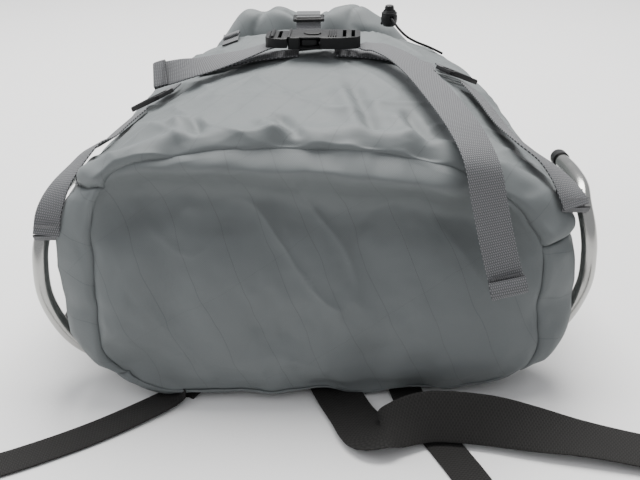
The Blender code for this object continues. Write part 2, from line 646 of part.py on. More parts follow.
def main():
    clear_scene()
    make_body()
    make_back()
    make_roll_top()
    make_top_strap()
    make_front_strap()
    make_hoop()
    make_stay_keepers()
    make_locks()
    make_cord()
    make_cord_lock()
    make_harness_webbing()
    make_haul_loop()
    move_origin()


main()
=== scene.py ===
"""The roll-top dry pack's looks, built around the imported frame.

All lengths are metres, apart from rows inside mm(), which are millimetres. The pack's own coordinates
count Y from the seam of its bottom panel, and pack_y turns them into the frame's coordinates.
"""

import math

import bmesh
import bpy
import numpy as np
from mathutils import Matrix, Vector


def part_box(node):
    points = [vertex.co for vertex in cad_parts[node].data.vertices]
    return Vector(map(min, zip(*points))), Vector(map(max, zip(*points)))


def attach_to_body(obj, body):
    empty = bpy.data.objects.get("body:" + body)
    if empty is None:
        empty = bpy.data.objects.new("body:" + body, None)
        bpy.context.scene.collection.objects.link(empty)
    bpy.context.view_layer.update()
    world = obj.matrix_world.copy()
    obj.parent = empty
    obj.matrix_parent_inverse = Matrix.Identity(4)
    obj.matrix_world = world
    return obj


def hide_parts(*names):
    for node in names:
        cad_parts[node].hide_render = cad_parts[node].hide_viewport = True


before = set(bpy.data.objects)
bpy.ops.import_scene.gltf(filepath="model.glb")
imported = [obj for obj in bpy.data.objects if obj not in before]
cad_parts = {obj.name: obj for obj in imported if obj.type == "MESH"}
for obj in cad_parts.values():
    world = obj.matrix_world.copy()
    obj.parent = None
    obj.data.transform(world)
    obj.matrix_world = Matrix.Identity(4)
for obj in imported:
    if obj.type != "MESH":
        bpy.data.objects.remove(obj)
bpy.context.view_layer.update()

MOUTH = 0.38
SEAM_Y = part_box("front_panel")[1].y - MOUTH
# The bottom end leans back: how steeply, how far along the pack, the height that stays in place and how
# far above it the front panel is.
LEAN, LEAN_REACH, LEAN_FOOT, LEAN_RISE = 0.22, 0.2, 0.02, 0.17
STRAP = 0.025
SIDE_STRAP = 0.02
HIP_STRAP = 0.036
WEBBING = 0.0016
FABRIC = 0.0009
CORD_THICKNESS = 0.0025

# The body's stations: distance along it, half width, crown height, underside height, and how square
# the outline's lower corners, upper left corner and upper right corner are.
STATIONS = np.array([
    (0.000, 0.166, 0.187, 0.0052, 5.5, 4.2, 2.2), (0.008, 0.179, 0.19, 0.0056, 5.0, 3.6, 2.2),
    (0.024, 0.192, 0.194, 0.0115, 4.0, 3.00, 2.1), (0.031, 0.194, 0.195, 0.0205, 3.3, 2.85, 2.00),
    (0.055, 0.198, 0.197, 0.02, 3.0, 2.6, 1.95), (0.11, 0.196, 0.202, 0.02, 3.0, 2.15, 1.9),
    (0.18, 0.191, 0.206, 0.02, 3.0, 1.95, 1.95), (0.25, 0.185, 0.207, 0.021, 3.0, 1.95, 2.1),
    (0.31, 0.175, 0.205, 0.024, 3.0, 2.1, 2.3), (0.35, 0.163, 0.199, 0.028, 3.0, 2.35, 2.5),
    (0.38, 0.15, 0.19, 0.034, 3.0, 2.6, 2.7),
])
# Where the seams between the panels lie on the outline, in degrees, at distances along the body.
SEAM_ALONG = (0.0, 0.068, 0.2, 0.38)
FRONT_LEFT_SEAM = (149.5, 158.0, 150.0, 141.0)
FRONT_RIGHT_SEAM = (10.0, 5.0, 20.0, 35.0)
BACK_LEFT_SEAM = (222.0,) * 4
BACK_RIGHT_SEAM = (318.0,) * 4


def pack_y(points):
    """Moves points from the pack's coordinates to the frame's."""
    return np.asarray(points, float) + (0.0, SEAM_Y, 0.0)


def mm(*rows):
    """Rows whose first three numbers are millimetres, with those in metres."""
    return [(*(value / 1000 for value in row[:3]), *row[3:]) for row in rows]


# ---------------------------------------------------------------- camera, light and floor


CAMERA_LENS, CAMERA_SENSOR = 49.5, 36.0
CAMERA_PLACE = (-0.0008, -0.5548, 0.4037)
CAMERA_TURN, CAMERA_ROLL = (64.0, 0.0, -0.24), -0.69  # degrees
SKY_COLOUR, SKY_STRENGTH = (0.96, 0.97, 1.0, 1.0), 0.66
# Area lights: name, place, target, size, power in watts and colour.
LIGHTS = (
    ("ceiling", (0.1, 0.9, 1.9), (0, 0.05, 0.1), (1.8, 1.4), 102, (1.0, 0.99, 0.975)),
    ("window", (-1.6, 0.2, 1.1), (0, 0, 0.1), (1.2, 1.2), 15, (0.97, 0.985, 1.0)),
)


def linked(name, data):
    """A new object in the scene."""
    obj = bpy.data.objects.new(name, data)
    bpy.context.scene.collection.objects.link(obj)
    return obj


def make_camera():
    data = bpy.data.cameras.new("camera")
    data.lens, data.sensor_width = CAMERA_LENS, CAMERA_SENSOR
    camera = linked("camera", data)
    camera.location = pack_y(CAMERA_PLACE)
    camera.rotation_mode = "XYZ"
    camera.rotation_euler = [math.radians(a) for a in CAMERA_TURN]
    camera.rotation_euler.rotate_axis("Z", math.radians(CAMERA_ROLL))
    bpy.context.scene.camera = camera


def area_light(name, place, target, size, power, colour):
    data = bpy.data.lights.new(name, "AREA")
    data.shape = "RECTANGLE"
    data.size, data.size_y = size
    data.energy = power
    data.color = colour
    light = linked(name, data)
    light.location = place
    light.rotation_euler = (Vector(target) - Vector(place)).to_track_quat("-Z", "Y").to_euler()


def make_studio():
    world = bpy.data.worlds.new("studio")
    world.use_nodes = True
    background = world.node_tree.nodes["Background"]
    background.inputs[0].default_value = SKY_COLOUR
    background.inputs[1].default_value = SKY_STRENGTH
    bpy.context.scene.world = world
    for light in LIGHTS:
        area_light(*light)
    mesh = bpy.data.meshes.new("floor")
    mesh.from_pydata([(-4, -3, 0), (4, -3, 0), (4, 3, 0), (-4, 3, 0)], [], [(0, 1, 2, 3)])
    floor = linked("floor", mesh)
    floor.data.materials.append(floor_material())


# ---------------------------------------------------------------- material helpers


class Nodes:
    """A small wrapper that adds and links shader nodes."""

    def __init__(self, name, colour, roughness, metallic=0.0):
        self.material = bpy.data.materials.new(name)
        self.material.use_nodes = True
        self.tree = self.material.node_tree
        self.shader = self.tree.nodes["Principled BSDF"]
        self.set("Base Color", (*colour, 1.0))
        self.set("Roughness", roughness)
        self.set("Metallic", metallic)

    def join(self, value, socket):
        """Links an output to a socket, or sets the socket's own value."""
        if hasattr(value, "links"):
            self.tree.links.new(value, socket)
        else:
            socket.default_value = value

    def set(self, name, value):
        self.join(value, self.shader.inputs[name])

    def add(self, kind, inputs=None, **settings):
        node = self.tree.nodes.new(kind)
        for key, value in settings.items():
            setattr(node, key, value)
        for key, value in (inputs or {}).items():
            self.join(value, node.inputs[key])
        return node

    def math(self, operation, *values):
        return self.add("ShaderNodeMath", dict(enumerate(values)), operation=operation).outputs[0]

    def times(self, a, b):
        return self.math("MULTIPLY", a, b)

    def mix(self, share, a, b):
        return self.add("ShaderNodeMix", {0: share, 6: a, 7: b}, data_type="RGBA").outputs[2]

    def place(self):
        return self.add("ShaderNodeTexCoord").outputs["Object"]

    def noise(self, vector, scale, detail, roughness=0.5):
        inputs = {"Vector": vector, "Scale": scale, "Detail": detail, "Roughness": roughness}
        return self.add("ShaderNodeTexNoise", inputs).outputs[0]

    def bump(self, height, distance, strength, before=None):
        inputs = {"Height": height, "Distance": distance, "Strength": strength}
        if before:
            inputs["Normal"] = before
        return self.add("ShaderNodeBump", inputs).outputs[0]


def tint(colour, share):
    """The colour made darker or lighter, with an alpha of 1."""
    return (*[c * share for c in colour], 1)


def floor_material():
    n = Nodes("floor_white", (0.87, 0.865, 0.855), 0.45)
    mottle = n.noise(n.place(), 3.0, 3.0)
    n.set("Base Color", n.mix(mottle, (0.86, 0.855, 0.845, 1), (0.89, 0.885, 0.88, 1)))
    return n.material


def uv_axes(n):
    """The two UV coordinates in metres: across, and along."""
    uv = n.add("ShaderNodeUVMap", uv_map="metres").outputs[0]
    split = n.add("ShaderNodeSeparateXYZ", {0: uv})
    return uv, split.outputs[0], split.outputs[1]


def ply_lines(n, u, v, angle, spacing, width):
    """A mask of thin parallel yarns lying at an angle, in degrees, in the cloth."""
    turn = math.radians(angle)
    across = n.math("ADD", n.times(u, math.cos(turn)), n.times(v, math.sin(turn)))
    saw = n.math("ABSOLUTE", n.math("SUBTRACT", n.math("FRACT", n.math("DIVIDE", across, spacing)), 0.5))
    return n.math("LESS_THAN", saw, width / spacing / 2)


WEAVE = 5200  # radians of the weave's wave per metre


def pack_cloth(name, colour=(0.152, 0.166, 0.168)):
    """Laminated pack cloth: a fine weave, faint diagonal yarns and a slight gloss."""
    n = Nodes(name, colour, 0.55)
    uv, u, v = uv_axes(n)
    crossing = n.times(ply_lines(n, u, v, -62, 0.074, 0.0004), 0.45)
    lines = n.math("MAXIMUM", ply_lines(n, u, v, 24, 0.03, 0.0006), crossing)
    weave = n.times(n.math("SINE", n.times(u, WEAVE)), n.math("SINE", n.times(v, WEAVE)))
    cloud = n.noise(uv, 24.0, 5.0, 0.6)
    fleck = n.noise(uv, 900.0, 2.0)
    base = n.mix(cloud, tint(colour, 0.93), tint(colour, 1.08))
    base = n.mix(n.times(fleck, 0.35), base, tint(colour, 0.8))
    n.set("Base Color", n.mix(n.times(lines, 0.26), base, tint(colour, 0.45)))
    n.set("Roughness", n.math("MULTIPLY_ADD", cloud, 0.16, 0.46))
    n.set("Sheen Weight", 0.03)
    n.set("Specular IOR Level", 0.24)
    fine = n.bump(n.math("MULTIPLY_ADD", weave, 0.5, n.times(fleck, 0.6)), 0.00012, 0.55)
    n.set("Normal", n.bump(lines, 0.0002, 0.6, fine))
    return n.material


def webbing_material(name, colour, dark_share, light_share, row=0.0018, column=0.0015):
    """Woven webbing: rows of short raised stitches, each row half a stitch out of step with the next."""
    n = Nodes(name, colour, 0.72)
    uv, u, v = uv_axes(n)
    rows = n.math("DIVIDE", v, row)
    stagger = n.times(n.math("MODULO", n.math("FLOOR", rows), 2.0), 0.5)
    columns = n.math("ADD", n.math("DIVIDE", u, column), stagger)
    dash, rib = (n.math("ABSOLUTE", n.math("SINE", n.times(wave, math.pi))) for wave in (columns, rows))
    knot = n.times(n.math("POWER", rib, 0.45), n.math("POWER", dash, 0.8))
    fuzz = n.noise(uv, 1500.0, 3.0)
    wear = n.noise(uv, 60.0, 3.0)
    base = n.mix(knot, tint(colour, dark_share), tint(colour, light_share))
    base = n.mix(n.times(fuzz, 0.2), base, tint(colour, 1))
    n.set("Base Color", n.mix(n.times(wear, 0.25), base, tint(colour, 0.8)))
    n.set("Sheen Weight", 0.02)
    n.set("Specular IOR Level", 0.22)
    n.set("Roughness", n.math("MULTIPLY_ADD", fuzz, 0.15, 0.66))
    n.set("Normal", n.bump(n.math("ADD", knot, n.times(fuzz, 0.25)), 0.00035, 0.8))
    return n.material


def plastic_material(name, colour=(0.012, 0.012, 0.0125)):
    n = Nodes(name, colour, 0.4)
    n.set("Specular IOR Level", 0.24)
    place = n.place()
    scuff = n.noise(place, 160.0, 5.0)
    n.set("Base Color", n.mix(scuff, tint(colour, 0.6), tint(colour, 1.3)))
    n.set("Roughness", n.math("MULTIPLY_ADD", scuff, 0.25, 0.26))
    n.set("Normal", n.bump(n.noise(place, 2600.0, 2.0), 0.00006, 0.5))
    return n.material


def metal_material(name, colour, roughness):
    n = Nodes(name, colour, roughness, 1.0)
    place = n.place()
    n.set("Roughness", n.math("MULTIPLY_ADD", n.noise(place, 90.0, 4.0), 0.14, roughness * 0.6))
    n.set("Normal", n.bump(n.noise(place, 1400.0, 1.0), 0.00002, 0.4))
    return n.material


def mesh_material(name, colour=(0.03, 0.031, 0.033)):
    """Knitted spacer mesh: a honeycomb of small open cells."""
    n = Nodes(name, colour, 0.85)
    place = n.place()
    cells = n.add("ShaderNodeTexVoronoi", {"Vector": place, "Scale": 420.0}).outputs["Distance"]
    n.set("Base Color", n.mix(cells, tint(colour, 0.3), tint(colour, 1.7)))
    n.set("Roughness", n.math("MULTIPLY_ADD", n.noise(place, 70.0, 3.0), 0.2, 0.75))
    n.set("Sheen Weight", 0.2)
    n.set("Normal", n.bump(cells, 0.0008, 0.9))
    return n.material


# ---------------------------------------------------------------- mesh helpers


def new_object(name, points, faces, material, uvs):
    """A smooth mesh object in the frame's coordinates, with UVs in metres."""
    mesh = bpy.data.meshes.new(name)
    mesh.from_pydata([tuple(p) for p in pack_y(points)], [], faces)
    layer = mesh.uv_layers.new(name="metres")
    loops = np.empty(len(mesh.loops), np.int32)
    mesh.loops.foreach_get("vertex_index", loops)
    layer.data.foreach_set("uv", np.asarray(uvs, float)[loops].ravel())
    mesh.update()
    mesh.shade_smooth()
    mesh.materials.append(material)
    return linked(name, mesh)


def attach(obj, body, nodes):
    """Ties a piece to its body, and to the CAD nodes that it stands for, if any."""
    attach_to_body(obj, body)
    if nodes:
        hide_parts(*nodes)


def grid_faces(rows, columns, closed=False):
    faces = []
    for r in range(rows - 1):
        for c in range(columns if closed else columns - 1):
            d = (c + 1) % columns
            faces.append((r * columns + c, r * columns + d, (r + 1) * columns + d, (r + 1) * columns + c))
    return faces


def smooth_path(points, count):
    rows = np.array(points, float)
    padded = np.vstack([2 * rows[0] - rows[1], rows, 2 * rows[-1] - rows[-2]])
    t = np.linspace(0, len(rows) - 1, count)
    i = np.minimum(t.astype(int), len(rows) - 2)
    f = (t - i)[:, None]
    a, b, c, d = padded[i], padded[i + 1], padded[i + 2], padded[i + 3]
    return 0.5 * (2 * b + (c - a) * f + (2 * a - 5 * b + 4 * c - d) * f**2 + (3 * b - a - 3 * c + d) * f**3)


def lengths_along(points):
    """Distances along a line of points, from its first one."""
    return np.concatenate([[0], np.cumsum(np.linalg.norm(np.diff(points[:, :3], axis=0), axis=1))])


def resampled(points, count, endpoint=True):
    """Evenly spaced points along a line of points, and their distances along it."""
    walk = lengths_along(points)
    at = np.linspace(0, walk[-1], count, endpoint=endpoint)
    return np.stack([np.interp(at, walk, column) for column in points.T], 1), at


def even_path(points, step):
    """The smooth curve through the points, resampled at an even step of its length."""
    dense = smooth_path(points, 60 * len(points))
    return resampled(dense, max(4, int(round(lengths_along(dense)[-1] / step)) + 1))


def unit(rows):
    return rows / np.maximum(np.linalg.norm(rows, axis=-1, keepdims=True), 1e-9)


def ribbon_frame(stations, step=0.0025):
    """Centres, directions across and outward, width shares and lengths along a ribbon's path."""
    rows, along = even_path(stations, step)
    centres, across = rows[:, :3], rows[:, 3:6]
    shares = rows[:, 6:7] if rows.shape[1] > 6 else np.ones((len(rows), 1))
    way = unit(np.gradient(centres, axis=0))
    across = unit(across - (across * way).sum(1)[:, None] * way)
    return centres, across, np.cross(across, way), shares, along


# Half of a ribbon's outline: shares of its half width and of its half thickness.
SELVEDGE = ((0.5, 1.0), (0.9, 1.0), (0.965, 0.9), (1, 0.55))
RIBBON_FACE = [(-x, z) for x, z in SELVEDGE[::-1]] + [(0, 1.0), *SELVEDGE]


def ribbon(name, stations, width, material, body, nodes=(), thickness=WEBBING):
    """Webbing with rounded selvedges, bent along its path."""
    centres, across, out, shares, along = ribbon_frame(stations)
    half, edge = width / 2, thickness / 2
    outline = [(sign * x * half, sign * z * edge) for sign in (1, -1) for x, z in RIBBON_FACE]
    points = np.concatenate(
        [[c + a * x * s + o * z for x, z in outline] for c, a, o, s in zip(centres, across, out, shares)]
    )
    uvs = [(x + half, v) for v in along for x, z in outline]
    count = len(outline)
    faces = [face[::-1] for face in grid_faces(len(centres), count, closed=True)]
    faces.append(tuple(range(count)))
    faces.append(tuple(range(len(points) - 1, len(points) - 1 - count, -1)))
    obj = new_object(name, points, faces, material, uvs)
    obj.data.set_sharp_from_angle(angle=math.radians(50))
    attach(obj, body, nodes)


def circle(centre, side, up, radius, sides):
    """Points round a centre, in the plane of two directions."""
    turns = 2 * math.pi * np.arange(sides)[:, None] / sides
    return centre + radius * (np.cos(turns) * side + np.sin(turns) * up)


def tube(name, points, radius, material, body, sides, step, nodes=(), cap=True):
    """A round rod along the smooth curve through the points."""
    rows, along = even_path(points, step)
    way = unit(np.gradient(rows, axis=0))
    side = unit(np.cross(way[0], (0.3, 0.2, 1.0)))
    rings = []
    for centre, w in zip(rows, way):
        side = unit(side - (side @ w) * w)
        rings.append(circle(centre, side, np.cross(w, side), radius, sides))
    rings = np.concatenate(rings)
    uvs = [(radius * 2 * math.pi * k / sides, v) for v in along for k in range(sides)]
    faces = grid_faces(len(rows), sides, closed=True)
    if cap:
        faces.append(tuple(range(sides))[::-1])
        faces.append(tuple(range(len(rings) - sides, len(rings))))
    obj = new_object(name, rings, faces, material, uvs)
    fix_normals(obj)
    attach(obj, body, nodes)


def fix_normals(obj):
    mesh = bmesh.new()
    mesh.from_mesh(obj.data)
    bmesh.ops.recalc_face_normals(mesh, faces=mesh.faces)
    mesh.to_mesh(obj.data)
    mesh.free()


# ---------------------------------------------------------------- the shared shape of the body


def between(knots, values, slopes, at):
    """Values between the knots, on cubics that have the given slopes at the knots."""
    i = np.clip(np.searchsorted(knots, at, side="right") - 1, 0, len(knots) - 2)
    span = knots[i + 1] - knots[i]
    t = (at - knots[i]) / span
    if values.ndim > 1:
        t, span = t[..., None], span[..., None]
    return (
        (2 * t**3 - 3 * t**2 + 1) * values[i] + (t**3 - 2 * t**2 + t) * span * slopes[i]
        + (3 * t**2 - 2 * t**3) * values[i + 1] + (t**3 - t**2) * span * slopes[i + 1]
    )


def body_size(y):
    """Half width, crown and underside height, and the three squarenesses, smoothly between the stations."""
    knots, values = STATIONS[:, 0], STATIONS[:, 1:]
    steps = np.diff(values, axis=0) / np.diff(knots)[:, None]
    before, after = steps[:-1], steps[1:]
    inner = np.where(after * before > 0, 2 * after * before / (after + before + 1e-12), 0)
    slopes = np.vstack([steps[:1], inner, steps[-1:]])
    return between(knots, values, slopes, np.clip(np.asarray(y, float), knots[0], knots[-1]))


def section(y, angles):
    """X and Z of the body's outline at one distance along it."""
    half_width, crown, underside, lower, left, right = body_size(y)
    middle, half_height = (crown + underside) / 2, (crown - underside) / 2
    power = 2 / np.where(np.sin(angles) < 0, lower, np.where(np.cos(angles) < 0, left, right))
    x = half_width * np.sign(np.cos(angles)) * np.abs(np.cos(angles)) ** power
    z = middle + half_height * np.sign(np.sin(angles)) * np.abs(np.sin(angles)) ** power
    return x, z


def even_section(y, start, end, count, samples=500, endpoint=True):
    """Evenly spaced X and Z of the outline between two angles, and their distances along it."""
    line = np.stack(section(y, np.linspace(start, end, samples)), 1)
    rows, at = resampled(line, count, endpoint)
    return rows[:, 0], rows[:, 1], at


def lean_at(points):
    """How far the leaned bottom seam has moved along the pack, at each point's height."""
    return LEAN * (points[..., 2] - LEAN_FOOT)


def leaned(points):
    points = np.array(points, float)
    fade = np.maximum(0.0, 1 - points[..., 1] / LEAN_REACH)
    points[..., 1] += lean_at(points) * fade
    return points


# ---------------------------------------------------------------- fields that shape the cloth


NOISE_CELLS = 64
NOISE_OFFSET = 900.0  # keeps every lattice index above zero


def value_noise(points, cell, seed):
    """Smooth noise from -1 to 1 at points in space, from a seeded lattice."""
    lattice = np.random.default_rng(seed).uniform(-1, 1, (NOISE_CELLS,) * 3)
    p = np.asarray(points, float) / cell + NOISE_OFFSET
    i = np.floor(p).astype(int)
    f = p - i
    f = f * f * f * (f * (f * 6 - 15) + 10)
    total = 0.0
    for corner in np.ndindex(2, 2, 2):
        weight = 1.0
        for axis, one in enumerate(corner):
            weight = weight * (f[..., axis] if one else 1 - f[..., axis])
        x, y, z = np.moveaxis((i + corner) % NOISE_CELLS, -1, 0)
        total = total + weight * lattice[x, y, z]
    return total


def ridges(points, cell, seed, sharpness):
    """Noise folded into soft, narrow creases, from 0 to 1."""
    return (1 - np.abs(value_noise(points, cell, seed))) ** sharpness


def segment_distance(points, a, b):
    """Distance to a segment, and the share along it."""
    a, b = np.array(a, float), np.array(b, float)
    way = b - a
    share = np.clip(((points - a) @ way) / (way @ way), 0, 1)
    gap = points - (a + share[..., None] * way)
    return np.linalg.norm(gap, axis=-1), share


def fold(points, line, height, width):
    """A raised crease (or a valley, where height is negative) along a line of points."""
    best = np.full(points.shape[:-1], 9.0)
    where = np.zeros(points.shape[:-1])
    count = len(line) - 1
    for i, (a, b) in enumerate(zip(line, line[1:])):
        gap, share = segment_distance(points, a, b)
        near = gap < best
        best = np.where(near, gap, best)
        where = np.where(near, (i + share) / count, where)
    fade = np.clip(np.minimum(where, 1 - where) * 4, 0, 1)
    return height * np.exp(-((best / width) ** 2)) * fade * fade * (3 - 2 * fade)


def dent(points, centre, radii, depth):
    """A soft hollow: radii along X, Y and Z."""
    gap = (points - np.array(centre)) / np.array(radii)
    return -depth * np.exp(-(gap**2).sum(-1))


# ---------------------------------------------------------------- the body's panels


def shell(name, grid, uvs, body, nodes, thickness=FABRIC, around=False):
    """A thin closed sheet: the grid is its outer face, and its edges are closed."""
    rows, columns = grid.shape[:2]
    normals = grid_outward(grid, around)
    inner = grid - normals * thickness
    points = np.concatenate([grid.reshape(-1, 3), inner.reshape(-1, 3)])
    count = rows * columns
    outside = grid_faces(rows, columns, around)
    faces = outside + [tuple(i + count for i in face[::-1]) for face in outside]
    for c in range(columns if around else columns - 1):
        d = (c + 1) % columns
        faces.append((c, c + count, d + count, d))
        last = (rows - 1) * columns
        faces.append((last + c, last + d, last + d + count, last + c + count))
    if not around:
        for r in range(rows - 1):
            a, b = r * columns, (r + 1) * columns
            faces.append((a, b, b + count, a + count))
            a, b = a + columns - 1, b + columns - 1
            faces.append((a, a + count, b + count, b))
    flat = uvs.reshape(-1, 2)
    obj = new_object(name, points, faces, CLOTH, np.concatenate([flat, flat]))
    fix_normals(obj)
    attach(obj, body, nodes)
    return obj


def grid_outward(grid, around=False):
    if around:
        return grid_outward(np.concatenate([grid[:, -1:], grid, grid[:, :1]], axis=1))[:, 1:-1]
    return unit(np.cross(np.gradient(grid, axis=0), np.gradient(grid, axis=1)))


def roll_in(gap, radius):
    """How far an edge turns in at a distance from its seam, as a quarter round."""
    near = np.clip(gap, 0, radius)
    return radius - np.sqrt(np.maximum(radius**2 - (radius - near) ** 2, 0))


def gathers(points, gap, reach, height, cell, seed):
    """Small puckers that stand on a seam and die out away from it."""
    return height * value_noise(points, cell, seed) * np.exp(-gap / reach) * np.clip(gap / 0.003, 0.15, 1)


def seam_warp(points):
    """The bottom seam wanders a little, and both its panels follow it."""
    gap = np.abs(points[..., 1] - lean_at(points))
    share = np.exp(-((gap / 0.022) ** 2))[..., None]
    shift = np.stack([value_noise(points, 0.034, seed) for seed in (11, 12, 13)], -1)
    kinks = np.stack([value_noise(points, 0.012, seed) for seed in (14, 15, 16)], -1)
    return points + share * (0.003 * shift + 0.0009 * kinks)


def body_wrinkles(points):
    """Loose soft folds over the whole body, with sharper creases where the cloth is slack."""
    low = 0.003 * value_noise(points * (1.0, 0.55, 1.0), 0.06, 21)
    mid = 0.0011 * value_noise(points * (1.2, 0.8, 1.0), 0.026, 22)
    turned = points @ np.array([(0.82, -0.57, 0), (0.57, 0.82, 0), (0, 0, 1.0)])
    crease = 0.0022 * (ridges(turned * (1.6, 0.5, 1.2), 0.06, 23, 6.0) - 0.25)
    across = points @ np.array([(0.6, 0.8, 0), (-0.8, 0.6, 0), (0, 0, 1.0)])
    slack = 0.0013 * (ridges(across * (1.4, 0.6, 1.3), 0.045, 25, 8.0) - 0.2)
    small = 0.0003 * value_noise(points, 0.009, 24)
    return low + mid + crease + slack + small


def on_front(*places):
    return [(x, y, front_height(x, y, 0.0)) for x, y in places]


# Creases that run from the bottom seam up the front panel: line, height, width.
FRONT_FOLDS = (
    (mm((29, 167), (37.5, 92), (44, 46)), -0.0056, 0.007),
    (mm((16, 150), (25, 92), (32, 44)), 0.004, 0.008),
    (mm((-96, 100), (-88, 72), (-83, 46)), -0.0046, 0.0046),
    (mm((-107, 92), (-99, 66), (-94, 44)), 0.0036, 0.006),
    (mm((-32, 90), (-19, 62), (-12, 40)), -0.0046, 0.005),
    (mm((-45, 82), (-33, 58), (-26, 40)), 0.0036, 0.0065),
    (mm((68, 105), (77, 74), (84, 46)), -0.005, 0.0056),
    (mm((56, 94), (64, 68), (70, 46)), 0.0038, 0.0066),
    (mm((-160, 120), (-120, 80), (-70, 85)), 0.003, 0.013),
    (mm((110, 150), (130, 100), (138, 60)), -0.003, 0.009),
)
# Creases on a side panel, with X counted outwards: line, height, width.
SIDE_FOLDS = (
    (mm((198, 30, 75), (185, 20, 72), (160, 10, 70)), -0.0024, 0.008),
    (mm((200, 60, 52), (188, 35, 46), (160, 14, 44)), 0.0032, 0.008),
    (mm((200, 160, 100), (198, 100, 85), (198, 60, 88)), -0.004, 0.009),
    (mm((196, 240, 80), (198, 180, 110), (198, 130, 118)), 0.0036, 0.01),
    (mm((190, 300, 110), (190, 240, 90), (192, 200, 60)), -0.0036, 0.009),
)


def side_folds(side):
    return [([(side * x, y, z) for x, y, z in line], height, width) for line, height, width in SIDE_FOLDS]


def seam_angle(degrees, y):
    return math.radians(float(np.interp(y, SEAM_ALONG, degrees)))


def step_at(gap, amount, fade):
    """A lip (or, where the amount is negative, a tuck) beside a seam."""
    return amount * (1 - np.exp(-((gap / 0.0032) ** 2))) * np.exp(-((gap / 0.017) ** 2)) * fade


def side_panel(name, starts, ends, folds, lips, seed, slackness=1.0, step=0.0024):
    """One panel along the body, between two seams."""
    across = np.linspace(seam_angle(starts, 0.1), seam_angle(ends, 0.1), 300)
    columns = int(lengths_along(np.stack(section(0.1, across), 1))[-1] / step)
    ys = np.concatenate([np.linspace(0, 0.012, 13)[:-1], np.arange(0.012, MOUTH, step), [MOUTH]])
    rows = [even_section(y, seam_angle(starts, y), seam_angle(ends, y), columns) for y in ys]
    grid = leaned([np.stack([x, np.full_like(x, y), z], -1) for y, (x, z, _) in zip(ys, rows)])
    walk = np.array([lengths_along(row) for row in grid])
    from_start, from_end = walk, walk[:, -1:] - walk
    from_seam = np.repeat(ys[:, None], columns, 1)
    uvs = np.stack([walk - walk[:, -1:] / 2 + seed * 0.37, from_seam], -1)
    outward = grid_outward(grid)
    side_gap = np.minimum(from_start, from_end)
    calm = np.clip(side_gap / 0.02, 0, 1) * np.clip(from_seam / 0.015, 0, 1)
    lift = body_wrinkles(grid) * calm * slackness
    lift = lift + gathers(grid, from_seam, 0.016, 0.004 * slackness, 0.02, 31)
    lift = lift + gathers(grid, side_gap, 0.012, 0.0026, 0.018, 32) * np.clip(from_seam / 0.03, 0, 1)
    lift = lift + 0.005 * np.exp(-(((from_seam - 0.017) / 0.012) ** 2)) * np.clip(side_gap / 0.01, 0, 1)
    fade = np.exp(-((from_seam / 0.085) ** 2)) * np.clip(from_seam / 0.004, 0, 1)
    lift = lift + step_at(from_start, lips[0], fade) + step_at(from_end, lips[1], fade)
    for line, height, width in folds:
        lift = lift + fold(grid, line, height, width) * np.clip(side_gap / 0.006, 0, 1)
    lift = lift - roll_in(from_seam, 0.0034) - roll_in(side_gap, 0.002)
    grid = seam_warp(grid + outward * lift[..., None])
    return shell(name.replace("panel", "cloth"), grid, uvs, "pack", [name])


# How far the bottom panel stands out, by depth below its upper edge: share of the depth, and height.
BOTTOM_PROFILE = (
    (0, 0), (0.035, 0.0095), (0.07, 0.013), (0.11, 0.0092), (0.155, -0.001), (0.2, -0.011), (0.25, -0.0158),
    (0.31, -0.0135), (0.39, -0.0045), (0.48, 0.004), (0.6, 0.01), (0.72, 0.0115), (0.85, 0.009),
    (0.94, 0.004), (1, 0),
)
# Soft hollows (or, where the depth is negative, swellings): centre, radii, depth.
BOTTOM_DENTS = (
    ((-0.112, 0.0, 0.098), (0.014, 1, 0.04), 0.0042),
    ((-0.088, 0.0, 0.082), (0.014, 1, 0.036), -0.0026),
    ((-0.03, 0.0, 0.06), (0.05, 1, 0.018), 0.0018),
    ((0.06, 0.0, 0.085), (0.036, 1, 0.024), 0.0022),
    ((0.118, 0.0, 0.06), (0.018, 1, 0.036), 0.0022),
    ((-0.13, 0.0, 0.14), (0.026, 1, 0.012), 0.0034),
)


def bottom_bulge(x, z, share):
    """How far the bottom panel stands out of its seam's plane."""
    half_width, crown, underside = body_size(0.0)[:3]
    tilt = 0.08 * x / half_width
    depth = np.clip((crown - z) / (crown - underside) - tilt, 0, 1)
    knots, heights = np.array(BOTTOM_PROFILE).T
    rise = between(knots, heights, np.gradient(heights, knots), depth)
    return rise * np.clip((1 - np.abs(share) ** 6.0) * 1.6, 0, 1)


